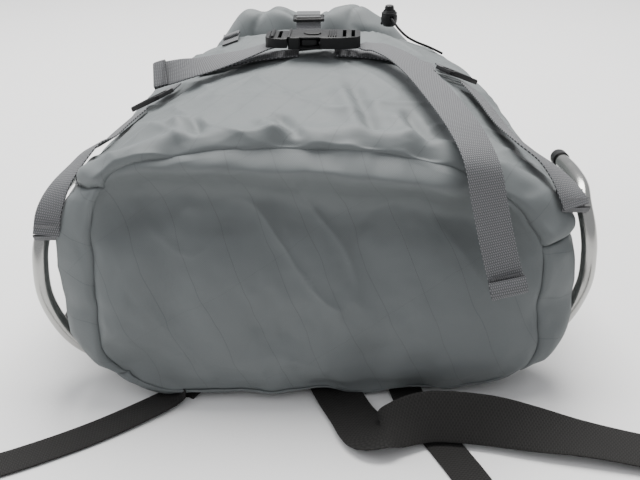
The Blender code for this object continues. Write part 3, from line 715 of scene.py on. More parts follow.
def bottom_panel():
    count = 300
    x, z, _ = even_section(0.0, 0, 2 * math.pi, count, 1500, False)
    crown, underside = body_size(0.0)[1:3]
    middle = (crown + underside) / 2
    shares = np.concatenate([1 - np.linspace(0, 0.06, 13), np.linspace(0.93, 0.012, 62)])
    px = shares[:, None] * x
    pz = middle + shares[:, None] * (z - middle)
    rim = np.hypot(x, z - middle)
    gap = (1 - shares[:, None]) * np.minimum(rim, 0.075)
    flat = np.stack([px, np.zeros_like(px), pz], -1)
    grid = leaned(flat)
    out = bottom_bulge(px, pz, np.repeat(shares[:, None], count, 1))
    calm = np.clip(gap / 0.02, 0, 1)
    out = out + (0.0022 * value_noise(grid, 0.05, 41) + 0.0012 * value_noise(grid, 0.024, 42)) * calm
    turned = grid @ np.array([(0.8, 0, -0.6), (0, 1, 0), (0.6, 0, 0.8)])
    out = out + 0.0022 * (ridges(turned * (1.5, 1, 0.5), 0.05, 43, 6.0) - 0.2) * np.clip(gap / 0.03, 0, 1)
    out = out + 0.00025 * value_noise(grid, 0.008, 44)
    out = out + gathers(grid, gap, 0.014, 0.0036, 0.019, 45)
    for centre, radii, depth in BOTTOM_DENTS:
        out = out + dent(flat, centre, radii, depth)
    out = out - roll_in(gap, 0.0034) - 0.0008
    grid = seam_warp(grid)
    grid[..., 1] -= out
    uvs = np.stack([px, pz], -1)[:, ::-1]
    obj = shell("bottom_cloth", grid[:, ::-1], uvs, "pack", ["bottom_panel"], around=True)
    close_hole(obj, len(shares), count)


def close_hole(obj, rows, count):
    """Draws each skin's last ring together at the panel's middle."""
    mesh = bmesh.new()
    mesh.from_mesh(obj.data)
    mesh.verts.ensure_lookup_table()
    last = (rows - 1) * count
    skins = [[mesh.verts[skin * rows * count + last + i] for i in range(count)] for skin in (0, 1)]
    for ring in skins:
        centre = sum((v.co for v in ring), Vector()) / count
        bmesh.ops.pointmerge(mesh, verts=ring, merge_co=centre)
    loose = [e for e in mesh.edges if not e.link_faces]
    bmesh.ops.delete(mesh, geom=loose, context="EDGES")
    bmesh.ops.recalc_face_normals(mesh, faces=mesh.faces)
    mesh.to_mesh(obj.data)
    mesh.free()


def make_body():
    front = [(on_front(*line), height, width) for line, height, width in FRONT_FOLDS]
    side_panel("front_panel", FRONT_RIGHT_SEAM, FRONT_LEFT_SEAM, front, (0.0034, 0.0044), 1)
    side_panel("left_side_panel", FRONT_LEFT_SEAM, BACK_LEFT_SEAM, side_folds(-1), (-0.003, 0), 2, 0.55)
    side_panel("back_panel", BACK_LEFT_SEAM, BACK_RIGHT_SEAM, (), (0, 0), 3, 1.0, 0.0036)
    right = [angle - 360 for angle in BACK_RIGHT_SEAM]
    side_panel("right_side_panel", right, FRONT_RIGHT_SEAM, side_folds(1), (0, -0.003), 4, 0.55)
    bottom_panel()


def front_height(x, y, lift):
    """Height of the front panel's outer face above a point of the ground plan, plus a lift."""
    unleaned = y - LEAN * LEAN_RISE * max(0.0, 1 - y / LEAN_REACH)
    half_width, crown, underside, _, left, right = body_size(unleaned)
    middle, half_height = (crown + underside) / 2, (crown - underside) / 2
    square = left if x < 0 else right
    return middle + half_height * (1 - abs(x / half_width) ** square) ** (1 / square) + lift


# ---------------------------------------------------------------- straps


def bar_tack(name, centre, along, across, width, body):
    """A dense zigzag of thread across a strap."""
    along, across = unit(np.array(along, float)), unit(np.array(across, float))
    count, reach = 26, 0.0011
    corners = [
        np.array(centre, float) + across * (k / (count - 1) - 0.5) * width
        + along * (reach if k % 2 else -reach)
        for k in range(count)
    ]
    points = [corners[0]]
    for a, b in zip(corners, corners[1:]):
        points += [a + (b - a) * 0.5, b]
    tube(name, points, 0.00022, THREAD, body, 5, 0.0004)


# The rolled end's route: shares of its length and of how far it opens.
END_ROUTE = (
    (0, 0), (0.25, 0), (0.6, 0.1), (0.9, 0.35), (1, 0.75), (0.88, 1.1), (0.55, 1.12), (0.2, 0.85),
    (0.02, 0.7),
)


def folded_end(name, centre, along, across, out, width, body, length, open_by):
    """The strap's end, rolled back on itself and sewn down."""
    along, across, out = (unit(np.array(v, float)) for v in (along, across, out))
    rows = [(*(np.array(centre) + along * length * a - out * open_by * b), *across) for a, b in END_ROUTE]
    ribbon(name, rows, width, WEB_GREY, body)


SIDE_STRAP_START = {
    -1: mm(
        (148.5, 161), (159, 135), (166, 111),
    ),
    1: mm(
        (135, 203), (144, 170), (152, 125),
    ),
}
SIDE_STRAP_END = {
    -1: mm(
        (172.5, 88, 172.5), (180, 72, 167), (190.5, 52, 156), (198, 39, 140), (200.5, 32.5, 124),
    ),
    1: mm(
        (161, 86, 169), (173.7, 65, 163), (181.9, 50, 155.5), (186.8, 38.5, 148), (189.9, 32.5, 141),
    ),
}
SIDE_STRAP_ACROSS = ((0.78, 0.38, -0.5), (0.8, 0.42, -0.42), (0.88, 0.4, -0.2), (1, 0.2, 0), (1, 0.05, 0))


# The ends of the webbing that holds each adjuster, on the front panel.
ANCHOR_ENDS = {-1: ((-0.1338, 0.1945), (-0.127, 0.212)), 1: ((0.1215, 0.2375), (0.1185, 0.2455))}


def strap_side_rows(side):
    rows = [(x, y, front_height(side * x, y, 0.005), 0.77, 0.36, -0.52) for x, y in SIDE_STRAP_START[side]]
    rows += [(*place, *across) for place, across in zip(SIDE_STRAP_END[side], SIDE_STRAP_ACROSS)]
    return [(side * x, y, z, side * wx, wy, wz) for x, y, z, wx, wy, wz in rows]


def make_side_straps():
    for side, name in ((-1, "left"), (1, "right")):
        rows = strap_side_rows(side)
        ribbon(f"side_webbing_{name}", rows, SIDE_STRAP, WEB_GREY, "pack", [f"side_strap_{name}"])
        end = np.array(rows[-1][:3])
        # the strap turns round the tube and comes back up behind itself
        back = [end, end + (0, 0.004, -0.005), end + (-side * 0.001, 0.0115, -0.0065)]
        back += [end + (-side * 0.001, 0.018, -0.002), end + (-side * 0.001, 0.0195, 0.006)]
        ribbon(f"side_webbing_turn_{name}", [(*p, side, 0, 0) for p in back], SIDE_STRAP, WEB_GREY, "pack")
        bar_tack(f"side_webbing_tack_{name}", end + (0, -0.001, 0.0075), (0, 0, 1), (1, 0, 0), 0.0165, "pack")
        (x, y), (end_x, end_y) = ANCHOR_ENDS[side]
        spots = [(x, y), ((x + end_x) / 2, (y + end_y) / 2), (end_x, end_y)]
        rows = [(px, py, front_height(px, py, 0.0028), 0.86, side * 0.36, -side * 0.42) for px, py in spots]
        ribbon(f"anchor_webbing_{name}", rows, SIDE_STRAP, WEB_GREY, "pack", [f"lock_anchor_{name}"])


def make_front_straps():
    y, lift = 0.2255, 0.003
    x, z = section(y + 0.012, np.radians(np.linspace(56, 124, 300)))
    out_x, out_z = np.gradient(z), -np.gradient(x)
    length = np.hypot(out_x, out_z)
    girth = np.stack([x + lift * out_x / length, np.full_like(x, y), z + lift * out_z / length], -1)
    girth, _ = resampled(girth, 41)
    for name, line in (("right", girth), ("left", girth[::-1])):
        rows = [(*p, 0, 1, 0) for p in line[:18]]
        ribbon(f"front_webbing_{name}", rows, STRAP, WEB_GREY, "pack", [f"front_strap_{name}"])
    left_tail = mm(
        (-40, 225, 216.5, 0, 1, 0), (-50, 220, 214.5, 0, 1, 0), (-65.9, 211, 211.5, 0, 1, 0.1),
        (-99, 197, 206.2, 0, 1, 0.4), (-120, 197.5, 202, 0, 0.85, 0.65), (-139, 198.5, 197.5, 0, 0.7, 0.7),
    )
    ribbon("strap_webbing_left", left_tail, STRAP, WEB_GREY, "front_male", ["strap_tail_left"])
    folded_end("strap_left_end", (-0.129, 0.1965, 0.2017), (-0.97, 0.03, -0.24), (0, 0.7, 0.7),
               (-0.17, -0.7, 0.7), STRAP, "front_male", 0.013, 0.0022)
    bar_tack("strap_left_tack", (-0.131, 0.1952, 0.2028), (1, 0, 0.2), (0, 0.7, 0.7), 0.021, "front_male")
    right_tail = mm(
        (40.5, 224, 216.5, 0, 1, 0), (48, 219.5, 215.8, 0.1, 1, 0), (58.2, 211, 216.2, 0.45, 0.9, 0),
        (73.3, 188, 213.8, 0.8, 0.6, 0), (85.7, 154, 209.8, 1, 0.3, 0), (97.6, 103.5, 203.5, 1, 0.15, 0),
        (108, 54, 195.5, 1, 0.1, 0), (115, 19, 182, 1, 0, -0.1), (120, 6, 157, 1, 0, -0.1),
        (126, -4, 129, 1, 0, -0.1), (132.5, -12, 104, 1, 0, -0.12),
    )
    ribbon("strap_webbing_right", right_tail, STRAP, WEB_GREY, "pack", ["strap_tail_right"])
    folded_end("strap_right_end", (0.1318, -0.013, 0.1075), (0.2, -0.24, -0.95), (1, 0.05, 0.24),
               (0, -1, 0.25), STRAP * 1.04, "pack", 0.012, -0.0042)
    bar_tack("strap_right_tack", (0.1318, -0.0138, 0.109), (0, -0.3, -1), (1, 0, 0.2), 0.021, "pack")


def make_harness_webbing():
    left = mm(
        (-86, 49, 3.4, 1, 0.3, 0), (-96, 20, 3.2, 1, 0.3, 0), (-113, -1.5, 2.6, 0.7, 1, 0),
        (-134, -20, 2, 0.5, 1, 0), (-160, -40, 1.6, 0.4, 1, 0), (-185, -56.5, 1.6, 0.3, 1, 0),
        (-220.5, -76, 1.6, 0.3, 1, 0), (-255, -90, 1.6, 0.3, 1, 0), (-298, -103, 1.6, 0.2, 1, 0),
    )
    black_ribbon("shoulder_tail_left", left, STRAP, ["shoulder_webbing_left"])
    right = mm(
        (82, 49, 3, 1, -0.2, 0), (69, 20, 1.4, 1, -0.1, 0), (66, 5, 1.2, 1, 0.1, 0),
        (74, -30, 1.2, 1, 0.35, 0), (88, -65, 1.2, 1, 0.4, 0), (101, -99, 1.2, 1, 0.35, 0),
        (110, -130, 1.2, 1, 0.3, 0),
    )
    black_ribbon("shoulder_tail_right", right, STRAP, ["shoulder_webbing_right"])
    hip_right = mm(
        (0, 56, 3.2, 1, 0, 0, 1), (6, 25, 3.2, 1, 0.1, 0, 1), (15, -5, 3.2, 1, 0.2, 0, 1),
        (24, -29, 3.4, 1, 0.2, 0, 1), (33, -48, 4.8, 1, 0.8, 0, 1.15), (40, -56, 8, 0.7, 1, 0.1, 1.15),
        (52, -54.5, 13, 0.15, 1, 0.45, 1), (78, -50, 17.2, 0, 0.8, 0.8, 1), (115, -54, 16.8, 0, 0.8, 0.75, 1),
        (150, -60, 13, 0, 0.9, 0.4, 1), (185, -67, 9, 0, 1, 0.1, 1), (225, -78, 6, 0.2, 1, 0, 1),
        (260, -90, 6, 0.3, 1, 0, 1),
    )
    black_ribbon("hip_tail_right", hip_right, HIP_STRAP, ["hip_webbing_right"])
    hip_left = mm(
        (-43, 120, 1.2, 0, 1, 0), (-70, 119.5, 1.2, 0, 1, 0), (-100, 118.5, 1.2, 0, 1, 0),
        (-118, 118, 1.5, 0, 1, 0), (-127, 117.8, 4.5, 0, 1, 0), (-132.8, 117.8, 7.6, 0, 1, 0),
    )
    black_ribbon("hip_tail_left", hip_left, HIP_STRAP, ["hip_webbing_left"])
    half = mm((31, 348), (32.5, 370), (31, 390), (22, 406), (8, 413))
    path = [(-x, y) for x, y in half] + [(x, y) for x, y in half[::-1]]
    black_ribbon("haul_webbing", [(x, y, 0.0108, 0, 0, 1) for x, y in path], 0.018, ["haul_loop"])


def black_ribbon(name, rows, width, nodes):
    ribbon(name, rows, width, WEB_BLACK, "pack", nodes)


# ---------------------------------------------------------------- the hoop stay


TUBE_ROUTE = {
    -1: mm(
        (206, 130, 131), (206.5, 100, 132), (206.5, 70, 130), (208, 50, 119), (211, 42, 100), (210.8, 40, 68),
        (199, 40, 38), (179.7, 40, 20), (152, 40, 12.5), (100, 40, 12),
    ),
    1: mm(
        (204, 130, 140), (204.5, 100, 142), (203, 70, 142), (201, 52, 135), (204, 43, 118), (206, 40, 98),
        (205, 40, 72), (193.5, 40, 44), (173, 40, 21), (152, 40, 13), (100, 40, 12),
    ),
}


def make_hoop():
    route = [(-x, y, z) for x, y, z in TUBE_ROUTE[-1]] + [(0, 0.04, 0.012)] + TUBE_ROUTE[1][::-1]
    tube("hoop_tube", route, 0.006, ALUMINIUM, "pack", 28, 0.003, ["hoop_stay"])
    for side, name in ((-1, "left"), (1, "right")):
        end, inner = [np.array((side * x, y, z)) for x, y, z in TUBE_ROUTE[side][:2]]
        way = unit(end - inner)
        rings = mm((0.7, 6.6), (1.2, 7), (10, 7), (12.2, 6.4), (13.3, 4.5), (13.7, 0))
        lathe(f"hoop_end_cap_{name}", end, way, rings, "pack", [f"hoop_cap_{name}"])
        radius = 0.0074
        turns = np.radians(np.linspace(-200, 20, 17))
        ring = [(0.04 + radius * math.cos(a), 0.0112 + radius * math.sin(a)) for a in turns]
        rows = [(side * 0.135, y, z, 1, 0, 0) for y, z in ring]
        ribbon(f"keeper_sleeve_{name}", rows, 0.03, WEB_BLACK, "pack", [f"stay_keeper_{name}"],
               0.0012)


def lathe(name, base, axis, rings, body, nodes=(), sides=32):
    """A turned moulding: rings of (distance along the axis, radius)."""
    side = unit(np.cross(axis, (0.31, 0.93, 0.17)))
    up = np.cross(axis, side)
    points = np.concatenate(
        [circle(base + axis * distance, side, up, max(radius, 1e-5), sides) for distance, radius in rings]
    )
    faces = grid_faces(len(rings), sides, closed=True)
    faces.append(tuple(range(sides)))
    faces.append(tuple(range(len(points) - sides, len(points))))
    obj = new_object(name, points, faces, PLASTIC, [(0, 0)] * len(points))
    fix_normals(obj)
    obj.data.set_sharp_from_angle(angle=math.radians(35))
    attach(obj, body, nodes)
    return obj


# ---------------------------------------------------------------- the roll-top


ROLL_Y, ROLL_Z, ROLL_HALF = 0.44, 0.17, 0.118
# How far the left and right ends of the roll hang below its middle, and how late they bend down.
ROLL_DROP_LEFT, ROLL_BEND_LEFT = 0.05, 5
ROLL_DROP_RIGHT, ROLL_BEND_RIGHT = 0.043, 3
# Humps of the rolled cloth: place across the pack, height, width.
ROLL_HUMPS = ((-0.08, 0.004, 0.012), (-0.056, -0.005, 0.011), (0.004, -0.004, 0.006), (0.046, 0.003, 0.022))


def roll_drop(x):
    share = np.abs(x) / ROLL_HALF
    return np.where(x < 0, ROLL_DROP_LEFT * share**ROLL_BEND_LEFT, ROLL_DROP_RIGHT * share**ROLL_BEND_RIGHT)


def roll_centre(x):
    humps = sum(height * math.exp(-(((x - place) / width) ** 2)) for place, height, width in ROLL_HUMPS)
    return ROLL_Y, ROLL_Z - float(roll_drop(x)) + humps


def make_collar():
    """The cloth between the body's mouth and the roll, gathered towards the roll."""
    count, rows = 260, 46
    x, z, at = even_section(MOUTH, 0, 2 * math.pi, count, 1200, False)
    middle = 0.112
    grid = np.zeros((rows, count, 3))
    for r, t in enumerate(np.linspace(0, 1, rows)):
        ease = t * t * (3 - 2 * t)
        target_x = np.clip(x * 0.78, -ROLL_HALF, ROLL_HALF)
        target_z = ROLL_Z - roll_drop(target_x) - 0.01 + (z - middle) / 0.078 * 0.016
        py = np.full_like(x, MOUTH + 0.001 + 0.048 * t)
        grid[r] = np.stack([x + (target_x - x) * ease, py, z + (target_z - z) * ease], -1)
    rise = np.linspace(0, 1, rows)[:, None]
    outward = -grid_outward(grid, True)
    flat = grid.copy()
    flat[..., 1] *= 0.25
    lift = 0.006 * np.sin(np.pi * rise)
    lift = lift + 0.0045 * value_noise(flat, 0.022, 61) * np.sin(np.pi * rise * 0.9 + 0.1)
    lift = lift + 0.0018 * value_noise(grid, 0.012, 62) * rise
    grid = grid + outward * lift[..., None]
    uvs = np.stack([np.repeat(at[None], rows, 0), np.repeat(rise * 0.06, count, 1) + 0.38], -1)
    shell("collar_cloth", grid, uvs, "roll_top", ["roll_collar"], around=True)


def make_roll():
    """The rolled mouth: a flattened spiral with soft humps, pinched where the strap crosses it."""
    turns, steps, stations = 2.35, 190, 96
    xs = np.linspace(-ROLL_HALF, ROLL_HALF, stations)
    grid = np.zeros((stations, steps, 3))
    uvs = np.zeros((stations, steps, 2))
    for i, x in enumerate(xs):
        cy, cz = roll_centre(x)
        end = abs(x) / ROLL_HALF
        pinch = 1 - 0.13 * math.exp(-(((x + 0.006) / 0.017) ** 2))
        swell = 1 + 0.06 * math.exp(-(((x + 0.052) / 0.03) ** 2))
        swell += 0.07 * math.exp(-(((x - 0.04) / 0.036) ** 2))
        slump = 1 - 0.22 * max(0.0, end - 0.72) / 0.28
        for k in range(steps):
            share = k / (steps - 1)
            angle = math.radians(250) - share * turns * 2 * math.pi
            size = (1 - 0.62 * share) * pinch * swell * slump
            grid[i, k] = (x, cy + 0.0285 * size * math.cos(angle), cz + 0.04 * size * math.sin(angle))
            uvs[i, k] = (x, 0.45 + share * 0.45)
    noisy = grid * (0.55, 1.3, 1.3)
    shift = [value_noise(noisy, 0.03, seed) for seed in (71, 72)]
    spread = np.stack([np.zeros(grid.shape[:2]), *shift], -1)
    grid = grid + 0.003 * spread
    turned = grid @ np.array([(0.8, 0.6, 0), (-0.6, 0.8, 0), (0, 0, 1.0)])
    sharp = ridges(turned * (1.5, 0.8, 0.8), 0.04, 74, 8.0)
    middle = np.array([(x, *roll_centre(x)) for x in xs])[:, None]
    away = grid - middle
    away = away / np.maximum(np.linalg.norm(away, axis=-1, keepdims=True), 0.001)
    outer = 1 - np.linspace(0, 1, steps)
    grid = grid - away * (0.004 * sharp * outer**2)[..., None]
    grid = grid + value_noise(grid, 0.011, 73)[..., None] * (0, 0.0009, 0.0009) * outer[:, None]
    shell("rolled_cloth", grid, uvs, "roll_top", ["roll_bundle"], thickness=0.0011)


def make_stiffener():
    """The stiff strip sewn in the mouth's edge, at the middle of the roll."""
    xs = np.linspace(-ROLL_HALF + 0.006, ROLL_HALF - 0.006, 30)
    rows = [(x, *roll_centre(x), 0, 0, 1) for x in xs]
    ribbon("mouth_strip", rows, 0.02, PLASTIC, "roll_top", ["roll_stiffener"], 0.0012)


def make_top_strap():
    over = mm(
        (406.5, 146), (406.8, 168), (406, 190), (402, 207.5), (389, 212.5), (376, 212.4), (370, 212.2),
        (365, 212.8),
    )
    rows = [(-0.006, y, z, 1, 0, 0) for y, z in over]
    ribbon("top_webbing", rows, STRAP, WEB_GREY, "roll_top", ["top_strap"])
    under = mm((365, 212.8), (362.2, 211.8), (364, 210.4), (370, 209.8), (384, 210.4), (396, 211.2))
    ribbon("top_webbing_return", [(-0.006, y, z, 1, 0, 0) for y, z in under], STRAP, WEB_GREY, "roll_top")
    bar_tack("top_webbing_tack", (-0.006, 0.385, 0.2132), (0, 1, 0), (1, 0, 0), 0.021, "roll_top")
    low = [0.243, 0.262, 0.285, 0.305, 0.325, 0.342]
    rows = [(-0.006, y, front_height(0.0, y, 0.0017), 1, 0, 0) for y in low]
    rows += [(-0.006, 0.349, 0.209, 1, 0, 0), (-0.006, 0.353, 0.2122, 1, 0, 0)]
    ribbon("hook_webbing_strip", rows, STRAP, WEB_GREY, "pack", ["hook_webbing"])
    for name, y in (("hook_webbing_tack", 0.262), ("hook_webbing_tack_2", 0.285)):
        bar_tack(name, (-0.006, y, front_height(0, y, 0.0027)), (0, 1, 0), (1, 0, 0), 0.021, "pack")
    wire = mm(
        (-20, 350, 212.2), (-20, 366, 212.4), (-18.5, 367.6, 212.4), (6.5, 367.6, 212.4), (8, 366, 212.4),
        (8, 350, 212.2), (6.2, 348.6, 212.2), (-18, 348.6, 212.2), (-20, 350, 212.2),
    )
    tube("hook_frame", wire, 0.0017, PLASTIC, "top_hook_body", 14, 0.0008, ["top_hook"], cap=False)
    bar = mm((-19.6, 357.8, 212.2), (-10, 357.8, 212.2), (7.6, 357.8, 212.2))
    tube("hook_bar", bar, 0.0015, PLASTIC, "top_hook_body", 14, 0.0012)
    tab = [
        (-0.084, 0.316, 0.1975), (-0.084, 0.328, 0.1992), (-0.084, 0.338, 0.199), (-0.084, 0.3412, 0.2008),
        (-0.084, 0.338, 0.2022), (-0.084, 0.327, 0.2018),
    ]
    tab = [(x, y, z, 1, 0, 0.36) for x, y, z in tab]
    ribbon("side_tab", tab, 0.017, WEB_GREY, "pack", ["webbing_tab_left"])
    bar_tack("side_tab_tack", (-0.084, 0.329, 0.203), (0, 1, 0), (1, 0, 0.36), 0.014, "pack")


# ---------------------------------------------------------------- moulded hardware


def cut_box(obj, size, centre, turn=0.0):
    """Cuts a box, turned about Z, out of a piece."""
    mesh = bmesh.new()
    bmesh.ops.create_cube(mesh, size=1.0)
    bmesh.ops.scale(mesh, vec=size, verts=mesh.verts)
    bmesh.ops.rotate(mesh, matrix=Matrix.Rotation(turn, 3, "Z"), verts=mesh.verts)
    bmesh.ops.translate(mesh, vec=centre, verts=mesh.verts)
    data = bpy.data.meshes.new("cutter")
    mesh.to_mesh(data)
    mesh.free()
    cutter = linked("cutter", data)
    apply_modifier(obj, "BOOLEAN", object=cutter, operation="DIFFERENCE", solver="EXACT")
    bpy.data.objects.remove(cutter, do_unlink=True)


def soft_block(name, outline, low, high, place, body, nodes=(), bevel=0.0009, holes=(), crown=0.0):
    """A moulded piece: an outline in its own X and Y, extruded, cut, rounded and placed."""
    mesh = bmesh.new()
    face = mesh.faces.new([mesh.verts.new((x, y, low)) for x, y in outline])
    top = bmesh.ops.extrude_face_region(mesh, geom=[face])["geom"]
    raised = [v for v in top if isinstance(v, bmesh.types.BMVert)]
    bmesh.ops.translate(mesh, verts=raised, vec=(0, 0, high - low))
    bmesh.ops.recalc_face_normals(mesh, faces=mesh.faces)
    data = bpy.data.meshes.new(name)
    mesh.to_mesh(data)
    mesh.free()
    obj = linked(name, data)
    for x0, y0, z0, x1, y1, z1 in holes:
        cut_box(obj, (x1 - x0, y1 - y0, z1 - z0), ((x0 + x1) / 2, (y0 + y1) / 2, (z0 + z1) / 2))
    apply_modifier(obj, "BEVEL", width=bevel, segments=3, limit_method="ANGLE", angle_limit=math.radians(35))
    rows = np.array([v.co[:] for v in obj.data.vertices])
    half = max(abs(y) for _, y in outline)
    rows[:, 2] += np.sign(rows[:, 2]) * crown * (1 - (rows[:, 1] / half) ** 2)
    for vertex, row in zip(obj.data.vertices, pack_y(place(rows))):
        vertex.co = row
    obj.data.materials.append(PLASTIC)
    obj.data.shade_smooth()
    obj.data.set_sharp_from_angle(angle=math.radians(32))
    attach(obj, body, nodes)


def apply_modifier(obj, kind, **settings):
    modifier = obj.modifiers.new(kind.lower(), kind)
    for key, value in settings.items():
        setattr(modifier, key, value)
    graph = bpy.context.evaluated_depsgraph_get()
    graph.update()
    data = bpy.data.meshes.new_from_object(obj.evaluated_get(graph))
    obj.modifiers.clear()
    old, obj.data = obj.data, data
    bpy.data.meshes.remove(old)


def placed(at, turn_z=0.0, tilt_y=0.0, scale=1.0):
    """A function that scales points, tilts them about Y, turns them about Z and moves them."""
    a, b = math.radians(turn_z), math.radians(tilt_y)
    about_z = np.array([(math.cos(a), -math.sin(a), 0), (math.sin(a), math.cos(a), 0), (0, 0, 1)])
    about_y = np.array([(math.cos(b), 0, math.sin(b)), (0, 1, 0), (-math.sin(b), 0, math.cos(b))])
    turn = about_z @ about_y
    return lambda rows: rows * scale @ turn.T + np.array(at)


def mirrored(outline):
    """Closes an outline given for y above zero with its mirror image."""
    return list(outline) + [(x, -y) for x, y in reversed(outline) if abs(y) > 1e-9]


def buckle_socket(name, place, body, node):
    """The buckle's socket half: body with side windows, grip ridges and a tapering ladder end."""
    outline = mirrored(mm(
        (-22, 15), (-20.5, 16.6), (-16, 17), (-12.5, 16.6), (-11.5, 15), (6.2, 15), (7.5, 16.6), (12, 17),
        (23, 16.8), (30, 15.8), (38, 13.8), (41.5, 10.5),
    ))
    holes = [(-0.03, -0.0143, -0.0032, 0.0095, 0.0143, 0.0032)]
    for side in (-1, 1):
        holes.append((-0.0113, side * 0.0152 - 0.0035, -0.0039, 0.0063, side * 0.0152 + 0.0035, 0.0039))
    holes += [(low, -0.0128, -0.02, low + 0.0032, 0.0128, 0.02) for low in (0.0258, 0.0335)]
    soft_block(name, outline, -0.0049, 0.0049, place, body, [node], holes=holes, crown=0.0009)
    lens = mirrored(mm((-9, 0), (-6, 4.6), (0, 6.2), (4.5, 5.2), (7, 0)))
    soft_block(name + "_crest", lens, 0.0052, 0.0061, place, body, bevel=0.0004)
    for k in range(4):
        x = 0.013 + 0.0021 * k
        rib = [(x, -0.0125), (x + 0.0011, -0.0125), (x + 0.0011, 0.0125), (x, 0.0125)]
        soft_block(f"{name}_rib_{k}", rib, 0.0044, 0.0062, place, body, bevel=0.0004)
    mouth = [(-0.0222, -0.0166), (-0.02, -0.0166), (-0.02, 0.0166), (-0.0222, 0.0166)]
    soft_block(name + "_lip", mouth, 0.004, 0.006, place, body, bevel=0.0005)


def buckle_plug(name, place, body, node, where):
    """The buckle's plug half: a tapering ladder end, a centre bar and two sprung prongs."""
    outline = mirrored(mm((-42, 9.5), (-39.5, 13), (-34, 15.8), (-28, 16.9), (-24.2, 16.9), (-22.7, 16)))
    holes = [(low, -0.0128, -0.02, low + 0.0031, 0.0128, 0.02) for low in (-0.0385, -0.031)]
    soft_block(name, outline, -0.004, 0.004, place, body, [node], holes=holes, crown=0.0009)
    bar = mirrored(mm((-25, 2.1), (4, 2.1), (6, 1.2)))
    soft_block(name + "_guide", bar, -0.002, 0.002, place, body, bevel=0.0004)
    rod = place(np.array([(-0.036, -0.0126, 0.0046), (-0.036, 0.0, 0.005), (-0.036, 0.0126, 0.0046)]))
    tube(name + "_bar", rod, 0.0017, PLASTIC, body, 14, 0.0015)
    for side, word in ((-1, "near"), (1, "far")):
        arm = mm(
            (-21.8, 7), (-21.8, 10), (-13, 9.8), (-10.4, 12.2), (-9.6, 13.9), (-1, 13.9), (3.4, 11.8), (5, 9),
            (4.6, 8), (-8, 7.8), (-14, 7.2),
        )
        arm = [(x, side * y) for x, y in arm]
        soft_block(f"{name}_prong_{word}_moulding", arm, -0.0026, 0.0026, place, f"{where}_prong_{word}",
                   [f"{node}_prong_{word}"], bevel=0.0006)


def make_buckles():
    front = placed((-0.001, 0.2255, 0.2215), -3)
    buckle_socket("front_socket", front, "pack", "front_buckle_female")
    buckle_plug("front_plug", front, "front_male", "front_buckle_male", "front")
    buckle_socket("hip_socket", placed((-0.19, 0.118, 0.008), 0, 0, 1.3), "pack", "hip_buckle_female")
    buckle_plug("hip_plug", placed((0.3145, -0.1075, 0.0075), -18, 0, 1.3), "pack", "hip_buckle_male", "hip")


def ladder(name, place, body, node):
    """A flat adjuster: a plate with three slots and a round bar beside each."""
    reach = STRAP / 2
    half = reach + 0.0035
    outline = mirrored([(half, 0.0118), (half - 0.0025, 0.0147), (-half + 0.0025, 0.0147), (-half, 0.0118)])
    wide = reach + 0.0004
    slots = [(-wide, low, -0.01, wide, low + 0.0037, 0.01) for low in (-0.0115, -0.0015, 0.007)]
    soft_block(name, outline, -0.0017, 0.0017, place, body, [node], holes=slots, bevel=0.0006)
    for k, y in enumerate((-0.0131, -0.0047, 0.0047)):
        rod = place(np.array([(-reach - 0.001, y, 0.0014), (0, y, 0.0016), (reach + 0.001, y, 0.0014)]))
        tube(f"{name}_bar_{k}", rod, 0.0012, PLASTIC, body, 12, 0.003)


def make_locks():
    spots = {"left": ((-0.14, 0.178, 0.1822), -22, -27), "right": ((0.127, 0.22, 0.1892), 24, 24)}
    for side, name in ((-1, "left"), (1, "right")):
        at, turn, tilt = spots[name]
        ladder(f"side_adjuster_{name}", placed(at, turn, tilt), f"side_lock_{name}", f"ladder_lock_{name}")
        ladder(f"shoulder_adjuster_{name}", placed((side * 0.086, 0.071, 0.003)), f"strap_lock_{name}",
               f"shoulder_lock_{name}")


def make_cord():
    route = mm(
        (70, 370, 203), (71.5, 366, 208), (73.5, 360.5, 212.5), (76, 350, 214.5), (79, 338, 213),
        (84, 329, 207), (92, 324, 200), (102, 323, 194.5), (112, 324, 190.3), (121, 326, 185.8),
        (129, 329, 181.2),
    )
    data = bpy.data.curves.new("lock_cord", "CURVE")
    data.dimensions = "3D"
    data.bevel_depth = CORD_THICKNESS / 2
    data.bevel_resolution = 5
    data.use_fill_caps = True
    spline = data.splines.new("POLY")
    places = pack_y(smooth_path(even_path(route, 0.004)[0], 90))
    spline.points.add(len(places) - 1)
    for point, place in zip(spline.points, places):
        point.co = (*place, 1.0)
    data.materials.append(CORD)
    obj = linked("lock_cord", data)
    attach(obj, "pack", ["elastic_cord"])


def make_cord_lock():
    x, y, base = 0.0762, 0.349, 0.2055
    wall = mm(
        (0, 5.6), (0.6, 6.3), (2, 7.2), (4.5, 8.1), (7.5, 8.4), (10.5, 8.1), (13.5, 7.1), (15.2, 6.3),
        (16, 5.6), (15.4, 5.3), (1.7, 5.3), (1.7, 0.1),
    )
    up = np.array((0.0, 0.0, 1.0))
    barrel = lathe("cord_lock_barrel_shell", (x, y, base), up, wall, "pack", ["cord_lock_barrel"], 40)
    stem = mm((7.2, 4), (7.4, 4.8), (15, 4.8), (15.8, 4.8), (18.5, 4.7), (20.3, 4.2), (20.9, 3), (21, 0.1))
    plunger = lathe("cord_lock_button", (x, y, base), up, stem, "cord_plunger", ["cord_lock_plunger"], 36)
    for obj, low, high in ((barrel, 0.0066, 0.011), (plunger, 0.0066, 0.015)):
        centre = (x, y + SEAM_Y, base + (low + high) / 2)
        cut_box(obj, (0.0042, 0.04, high - low), centre, math.radians(14))
    ring = mm((0, 6.6), (0.2, 7.7), (1, 8), (1.8, 7.7), (2, 6.6))
    lathe("cord_lock_ring", (x, y, base + 0.0118), up, ring, "pack", sides=40)


# ---------------------------------------------------------------- the back: pad, shoulder straps


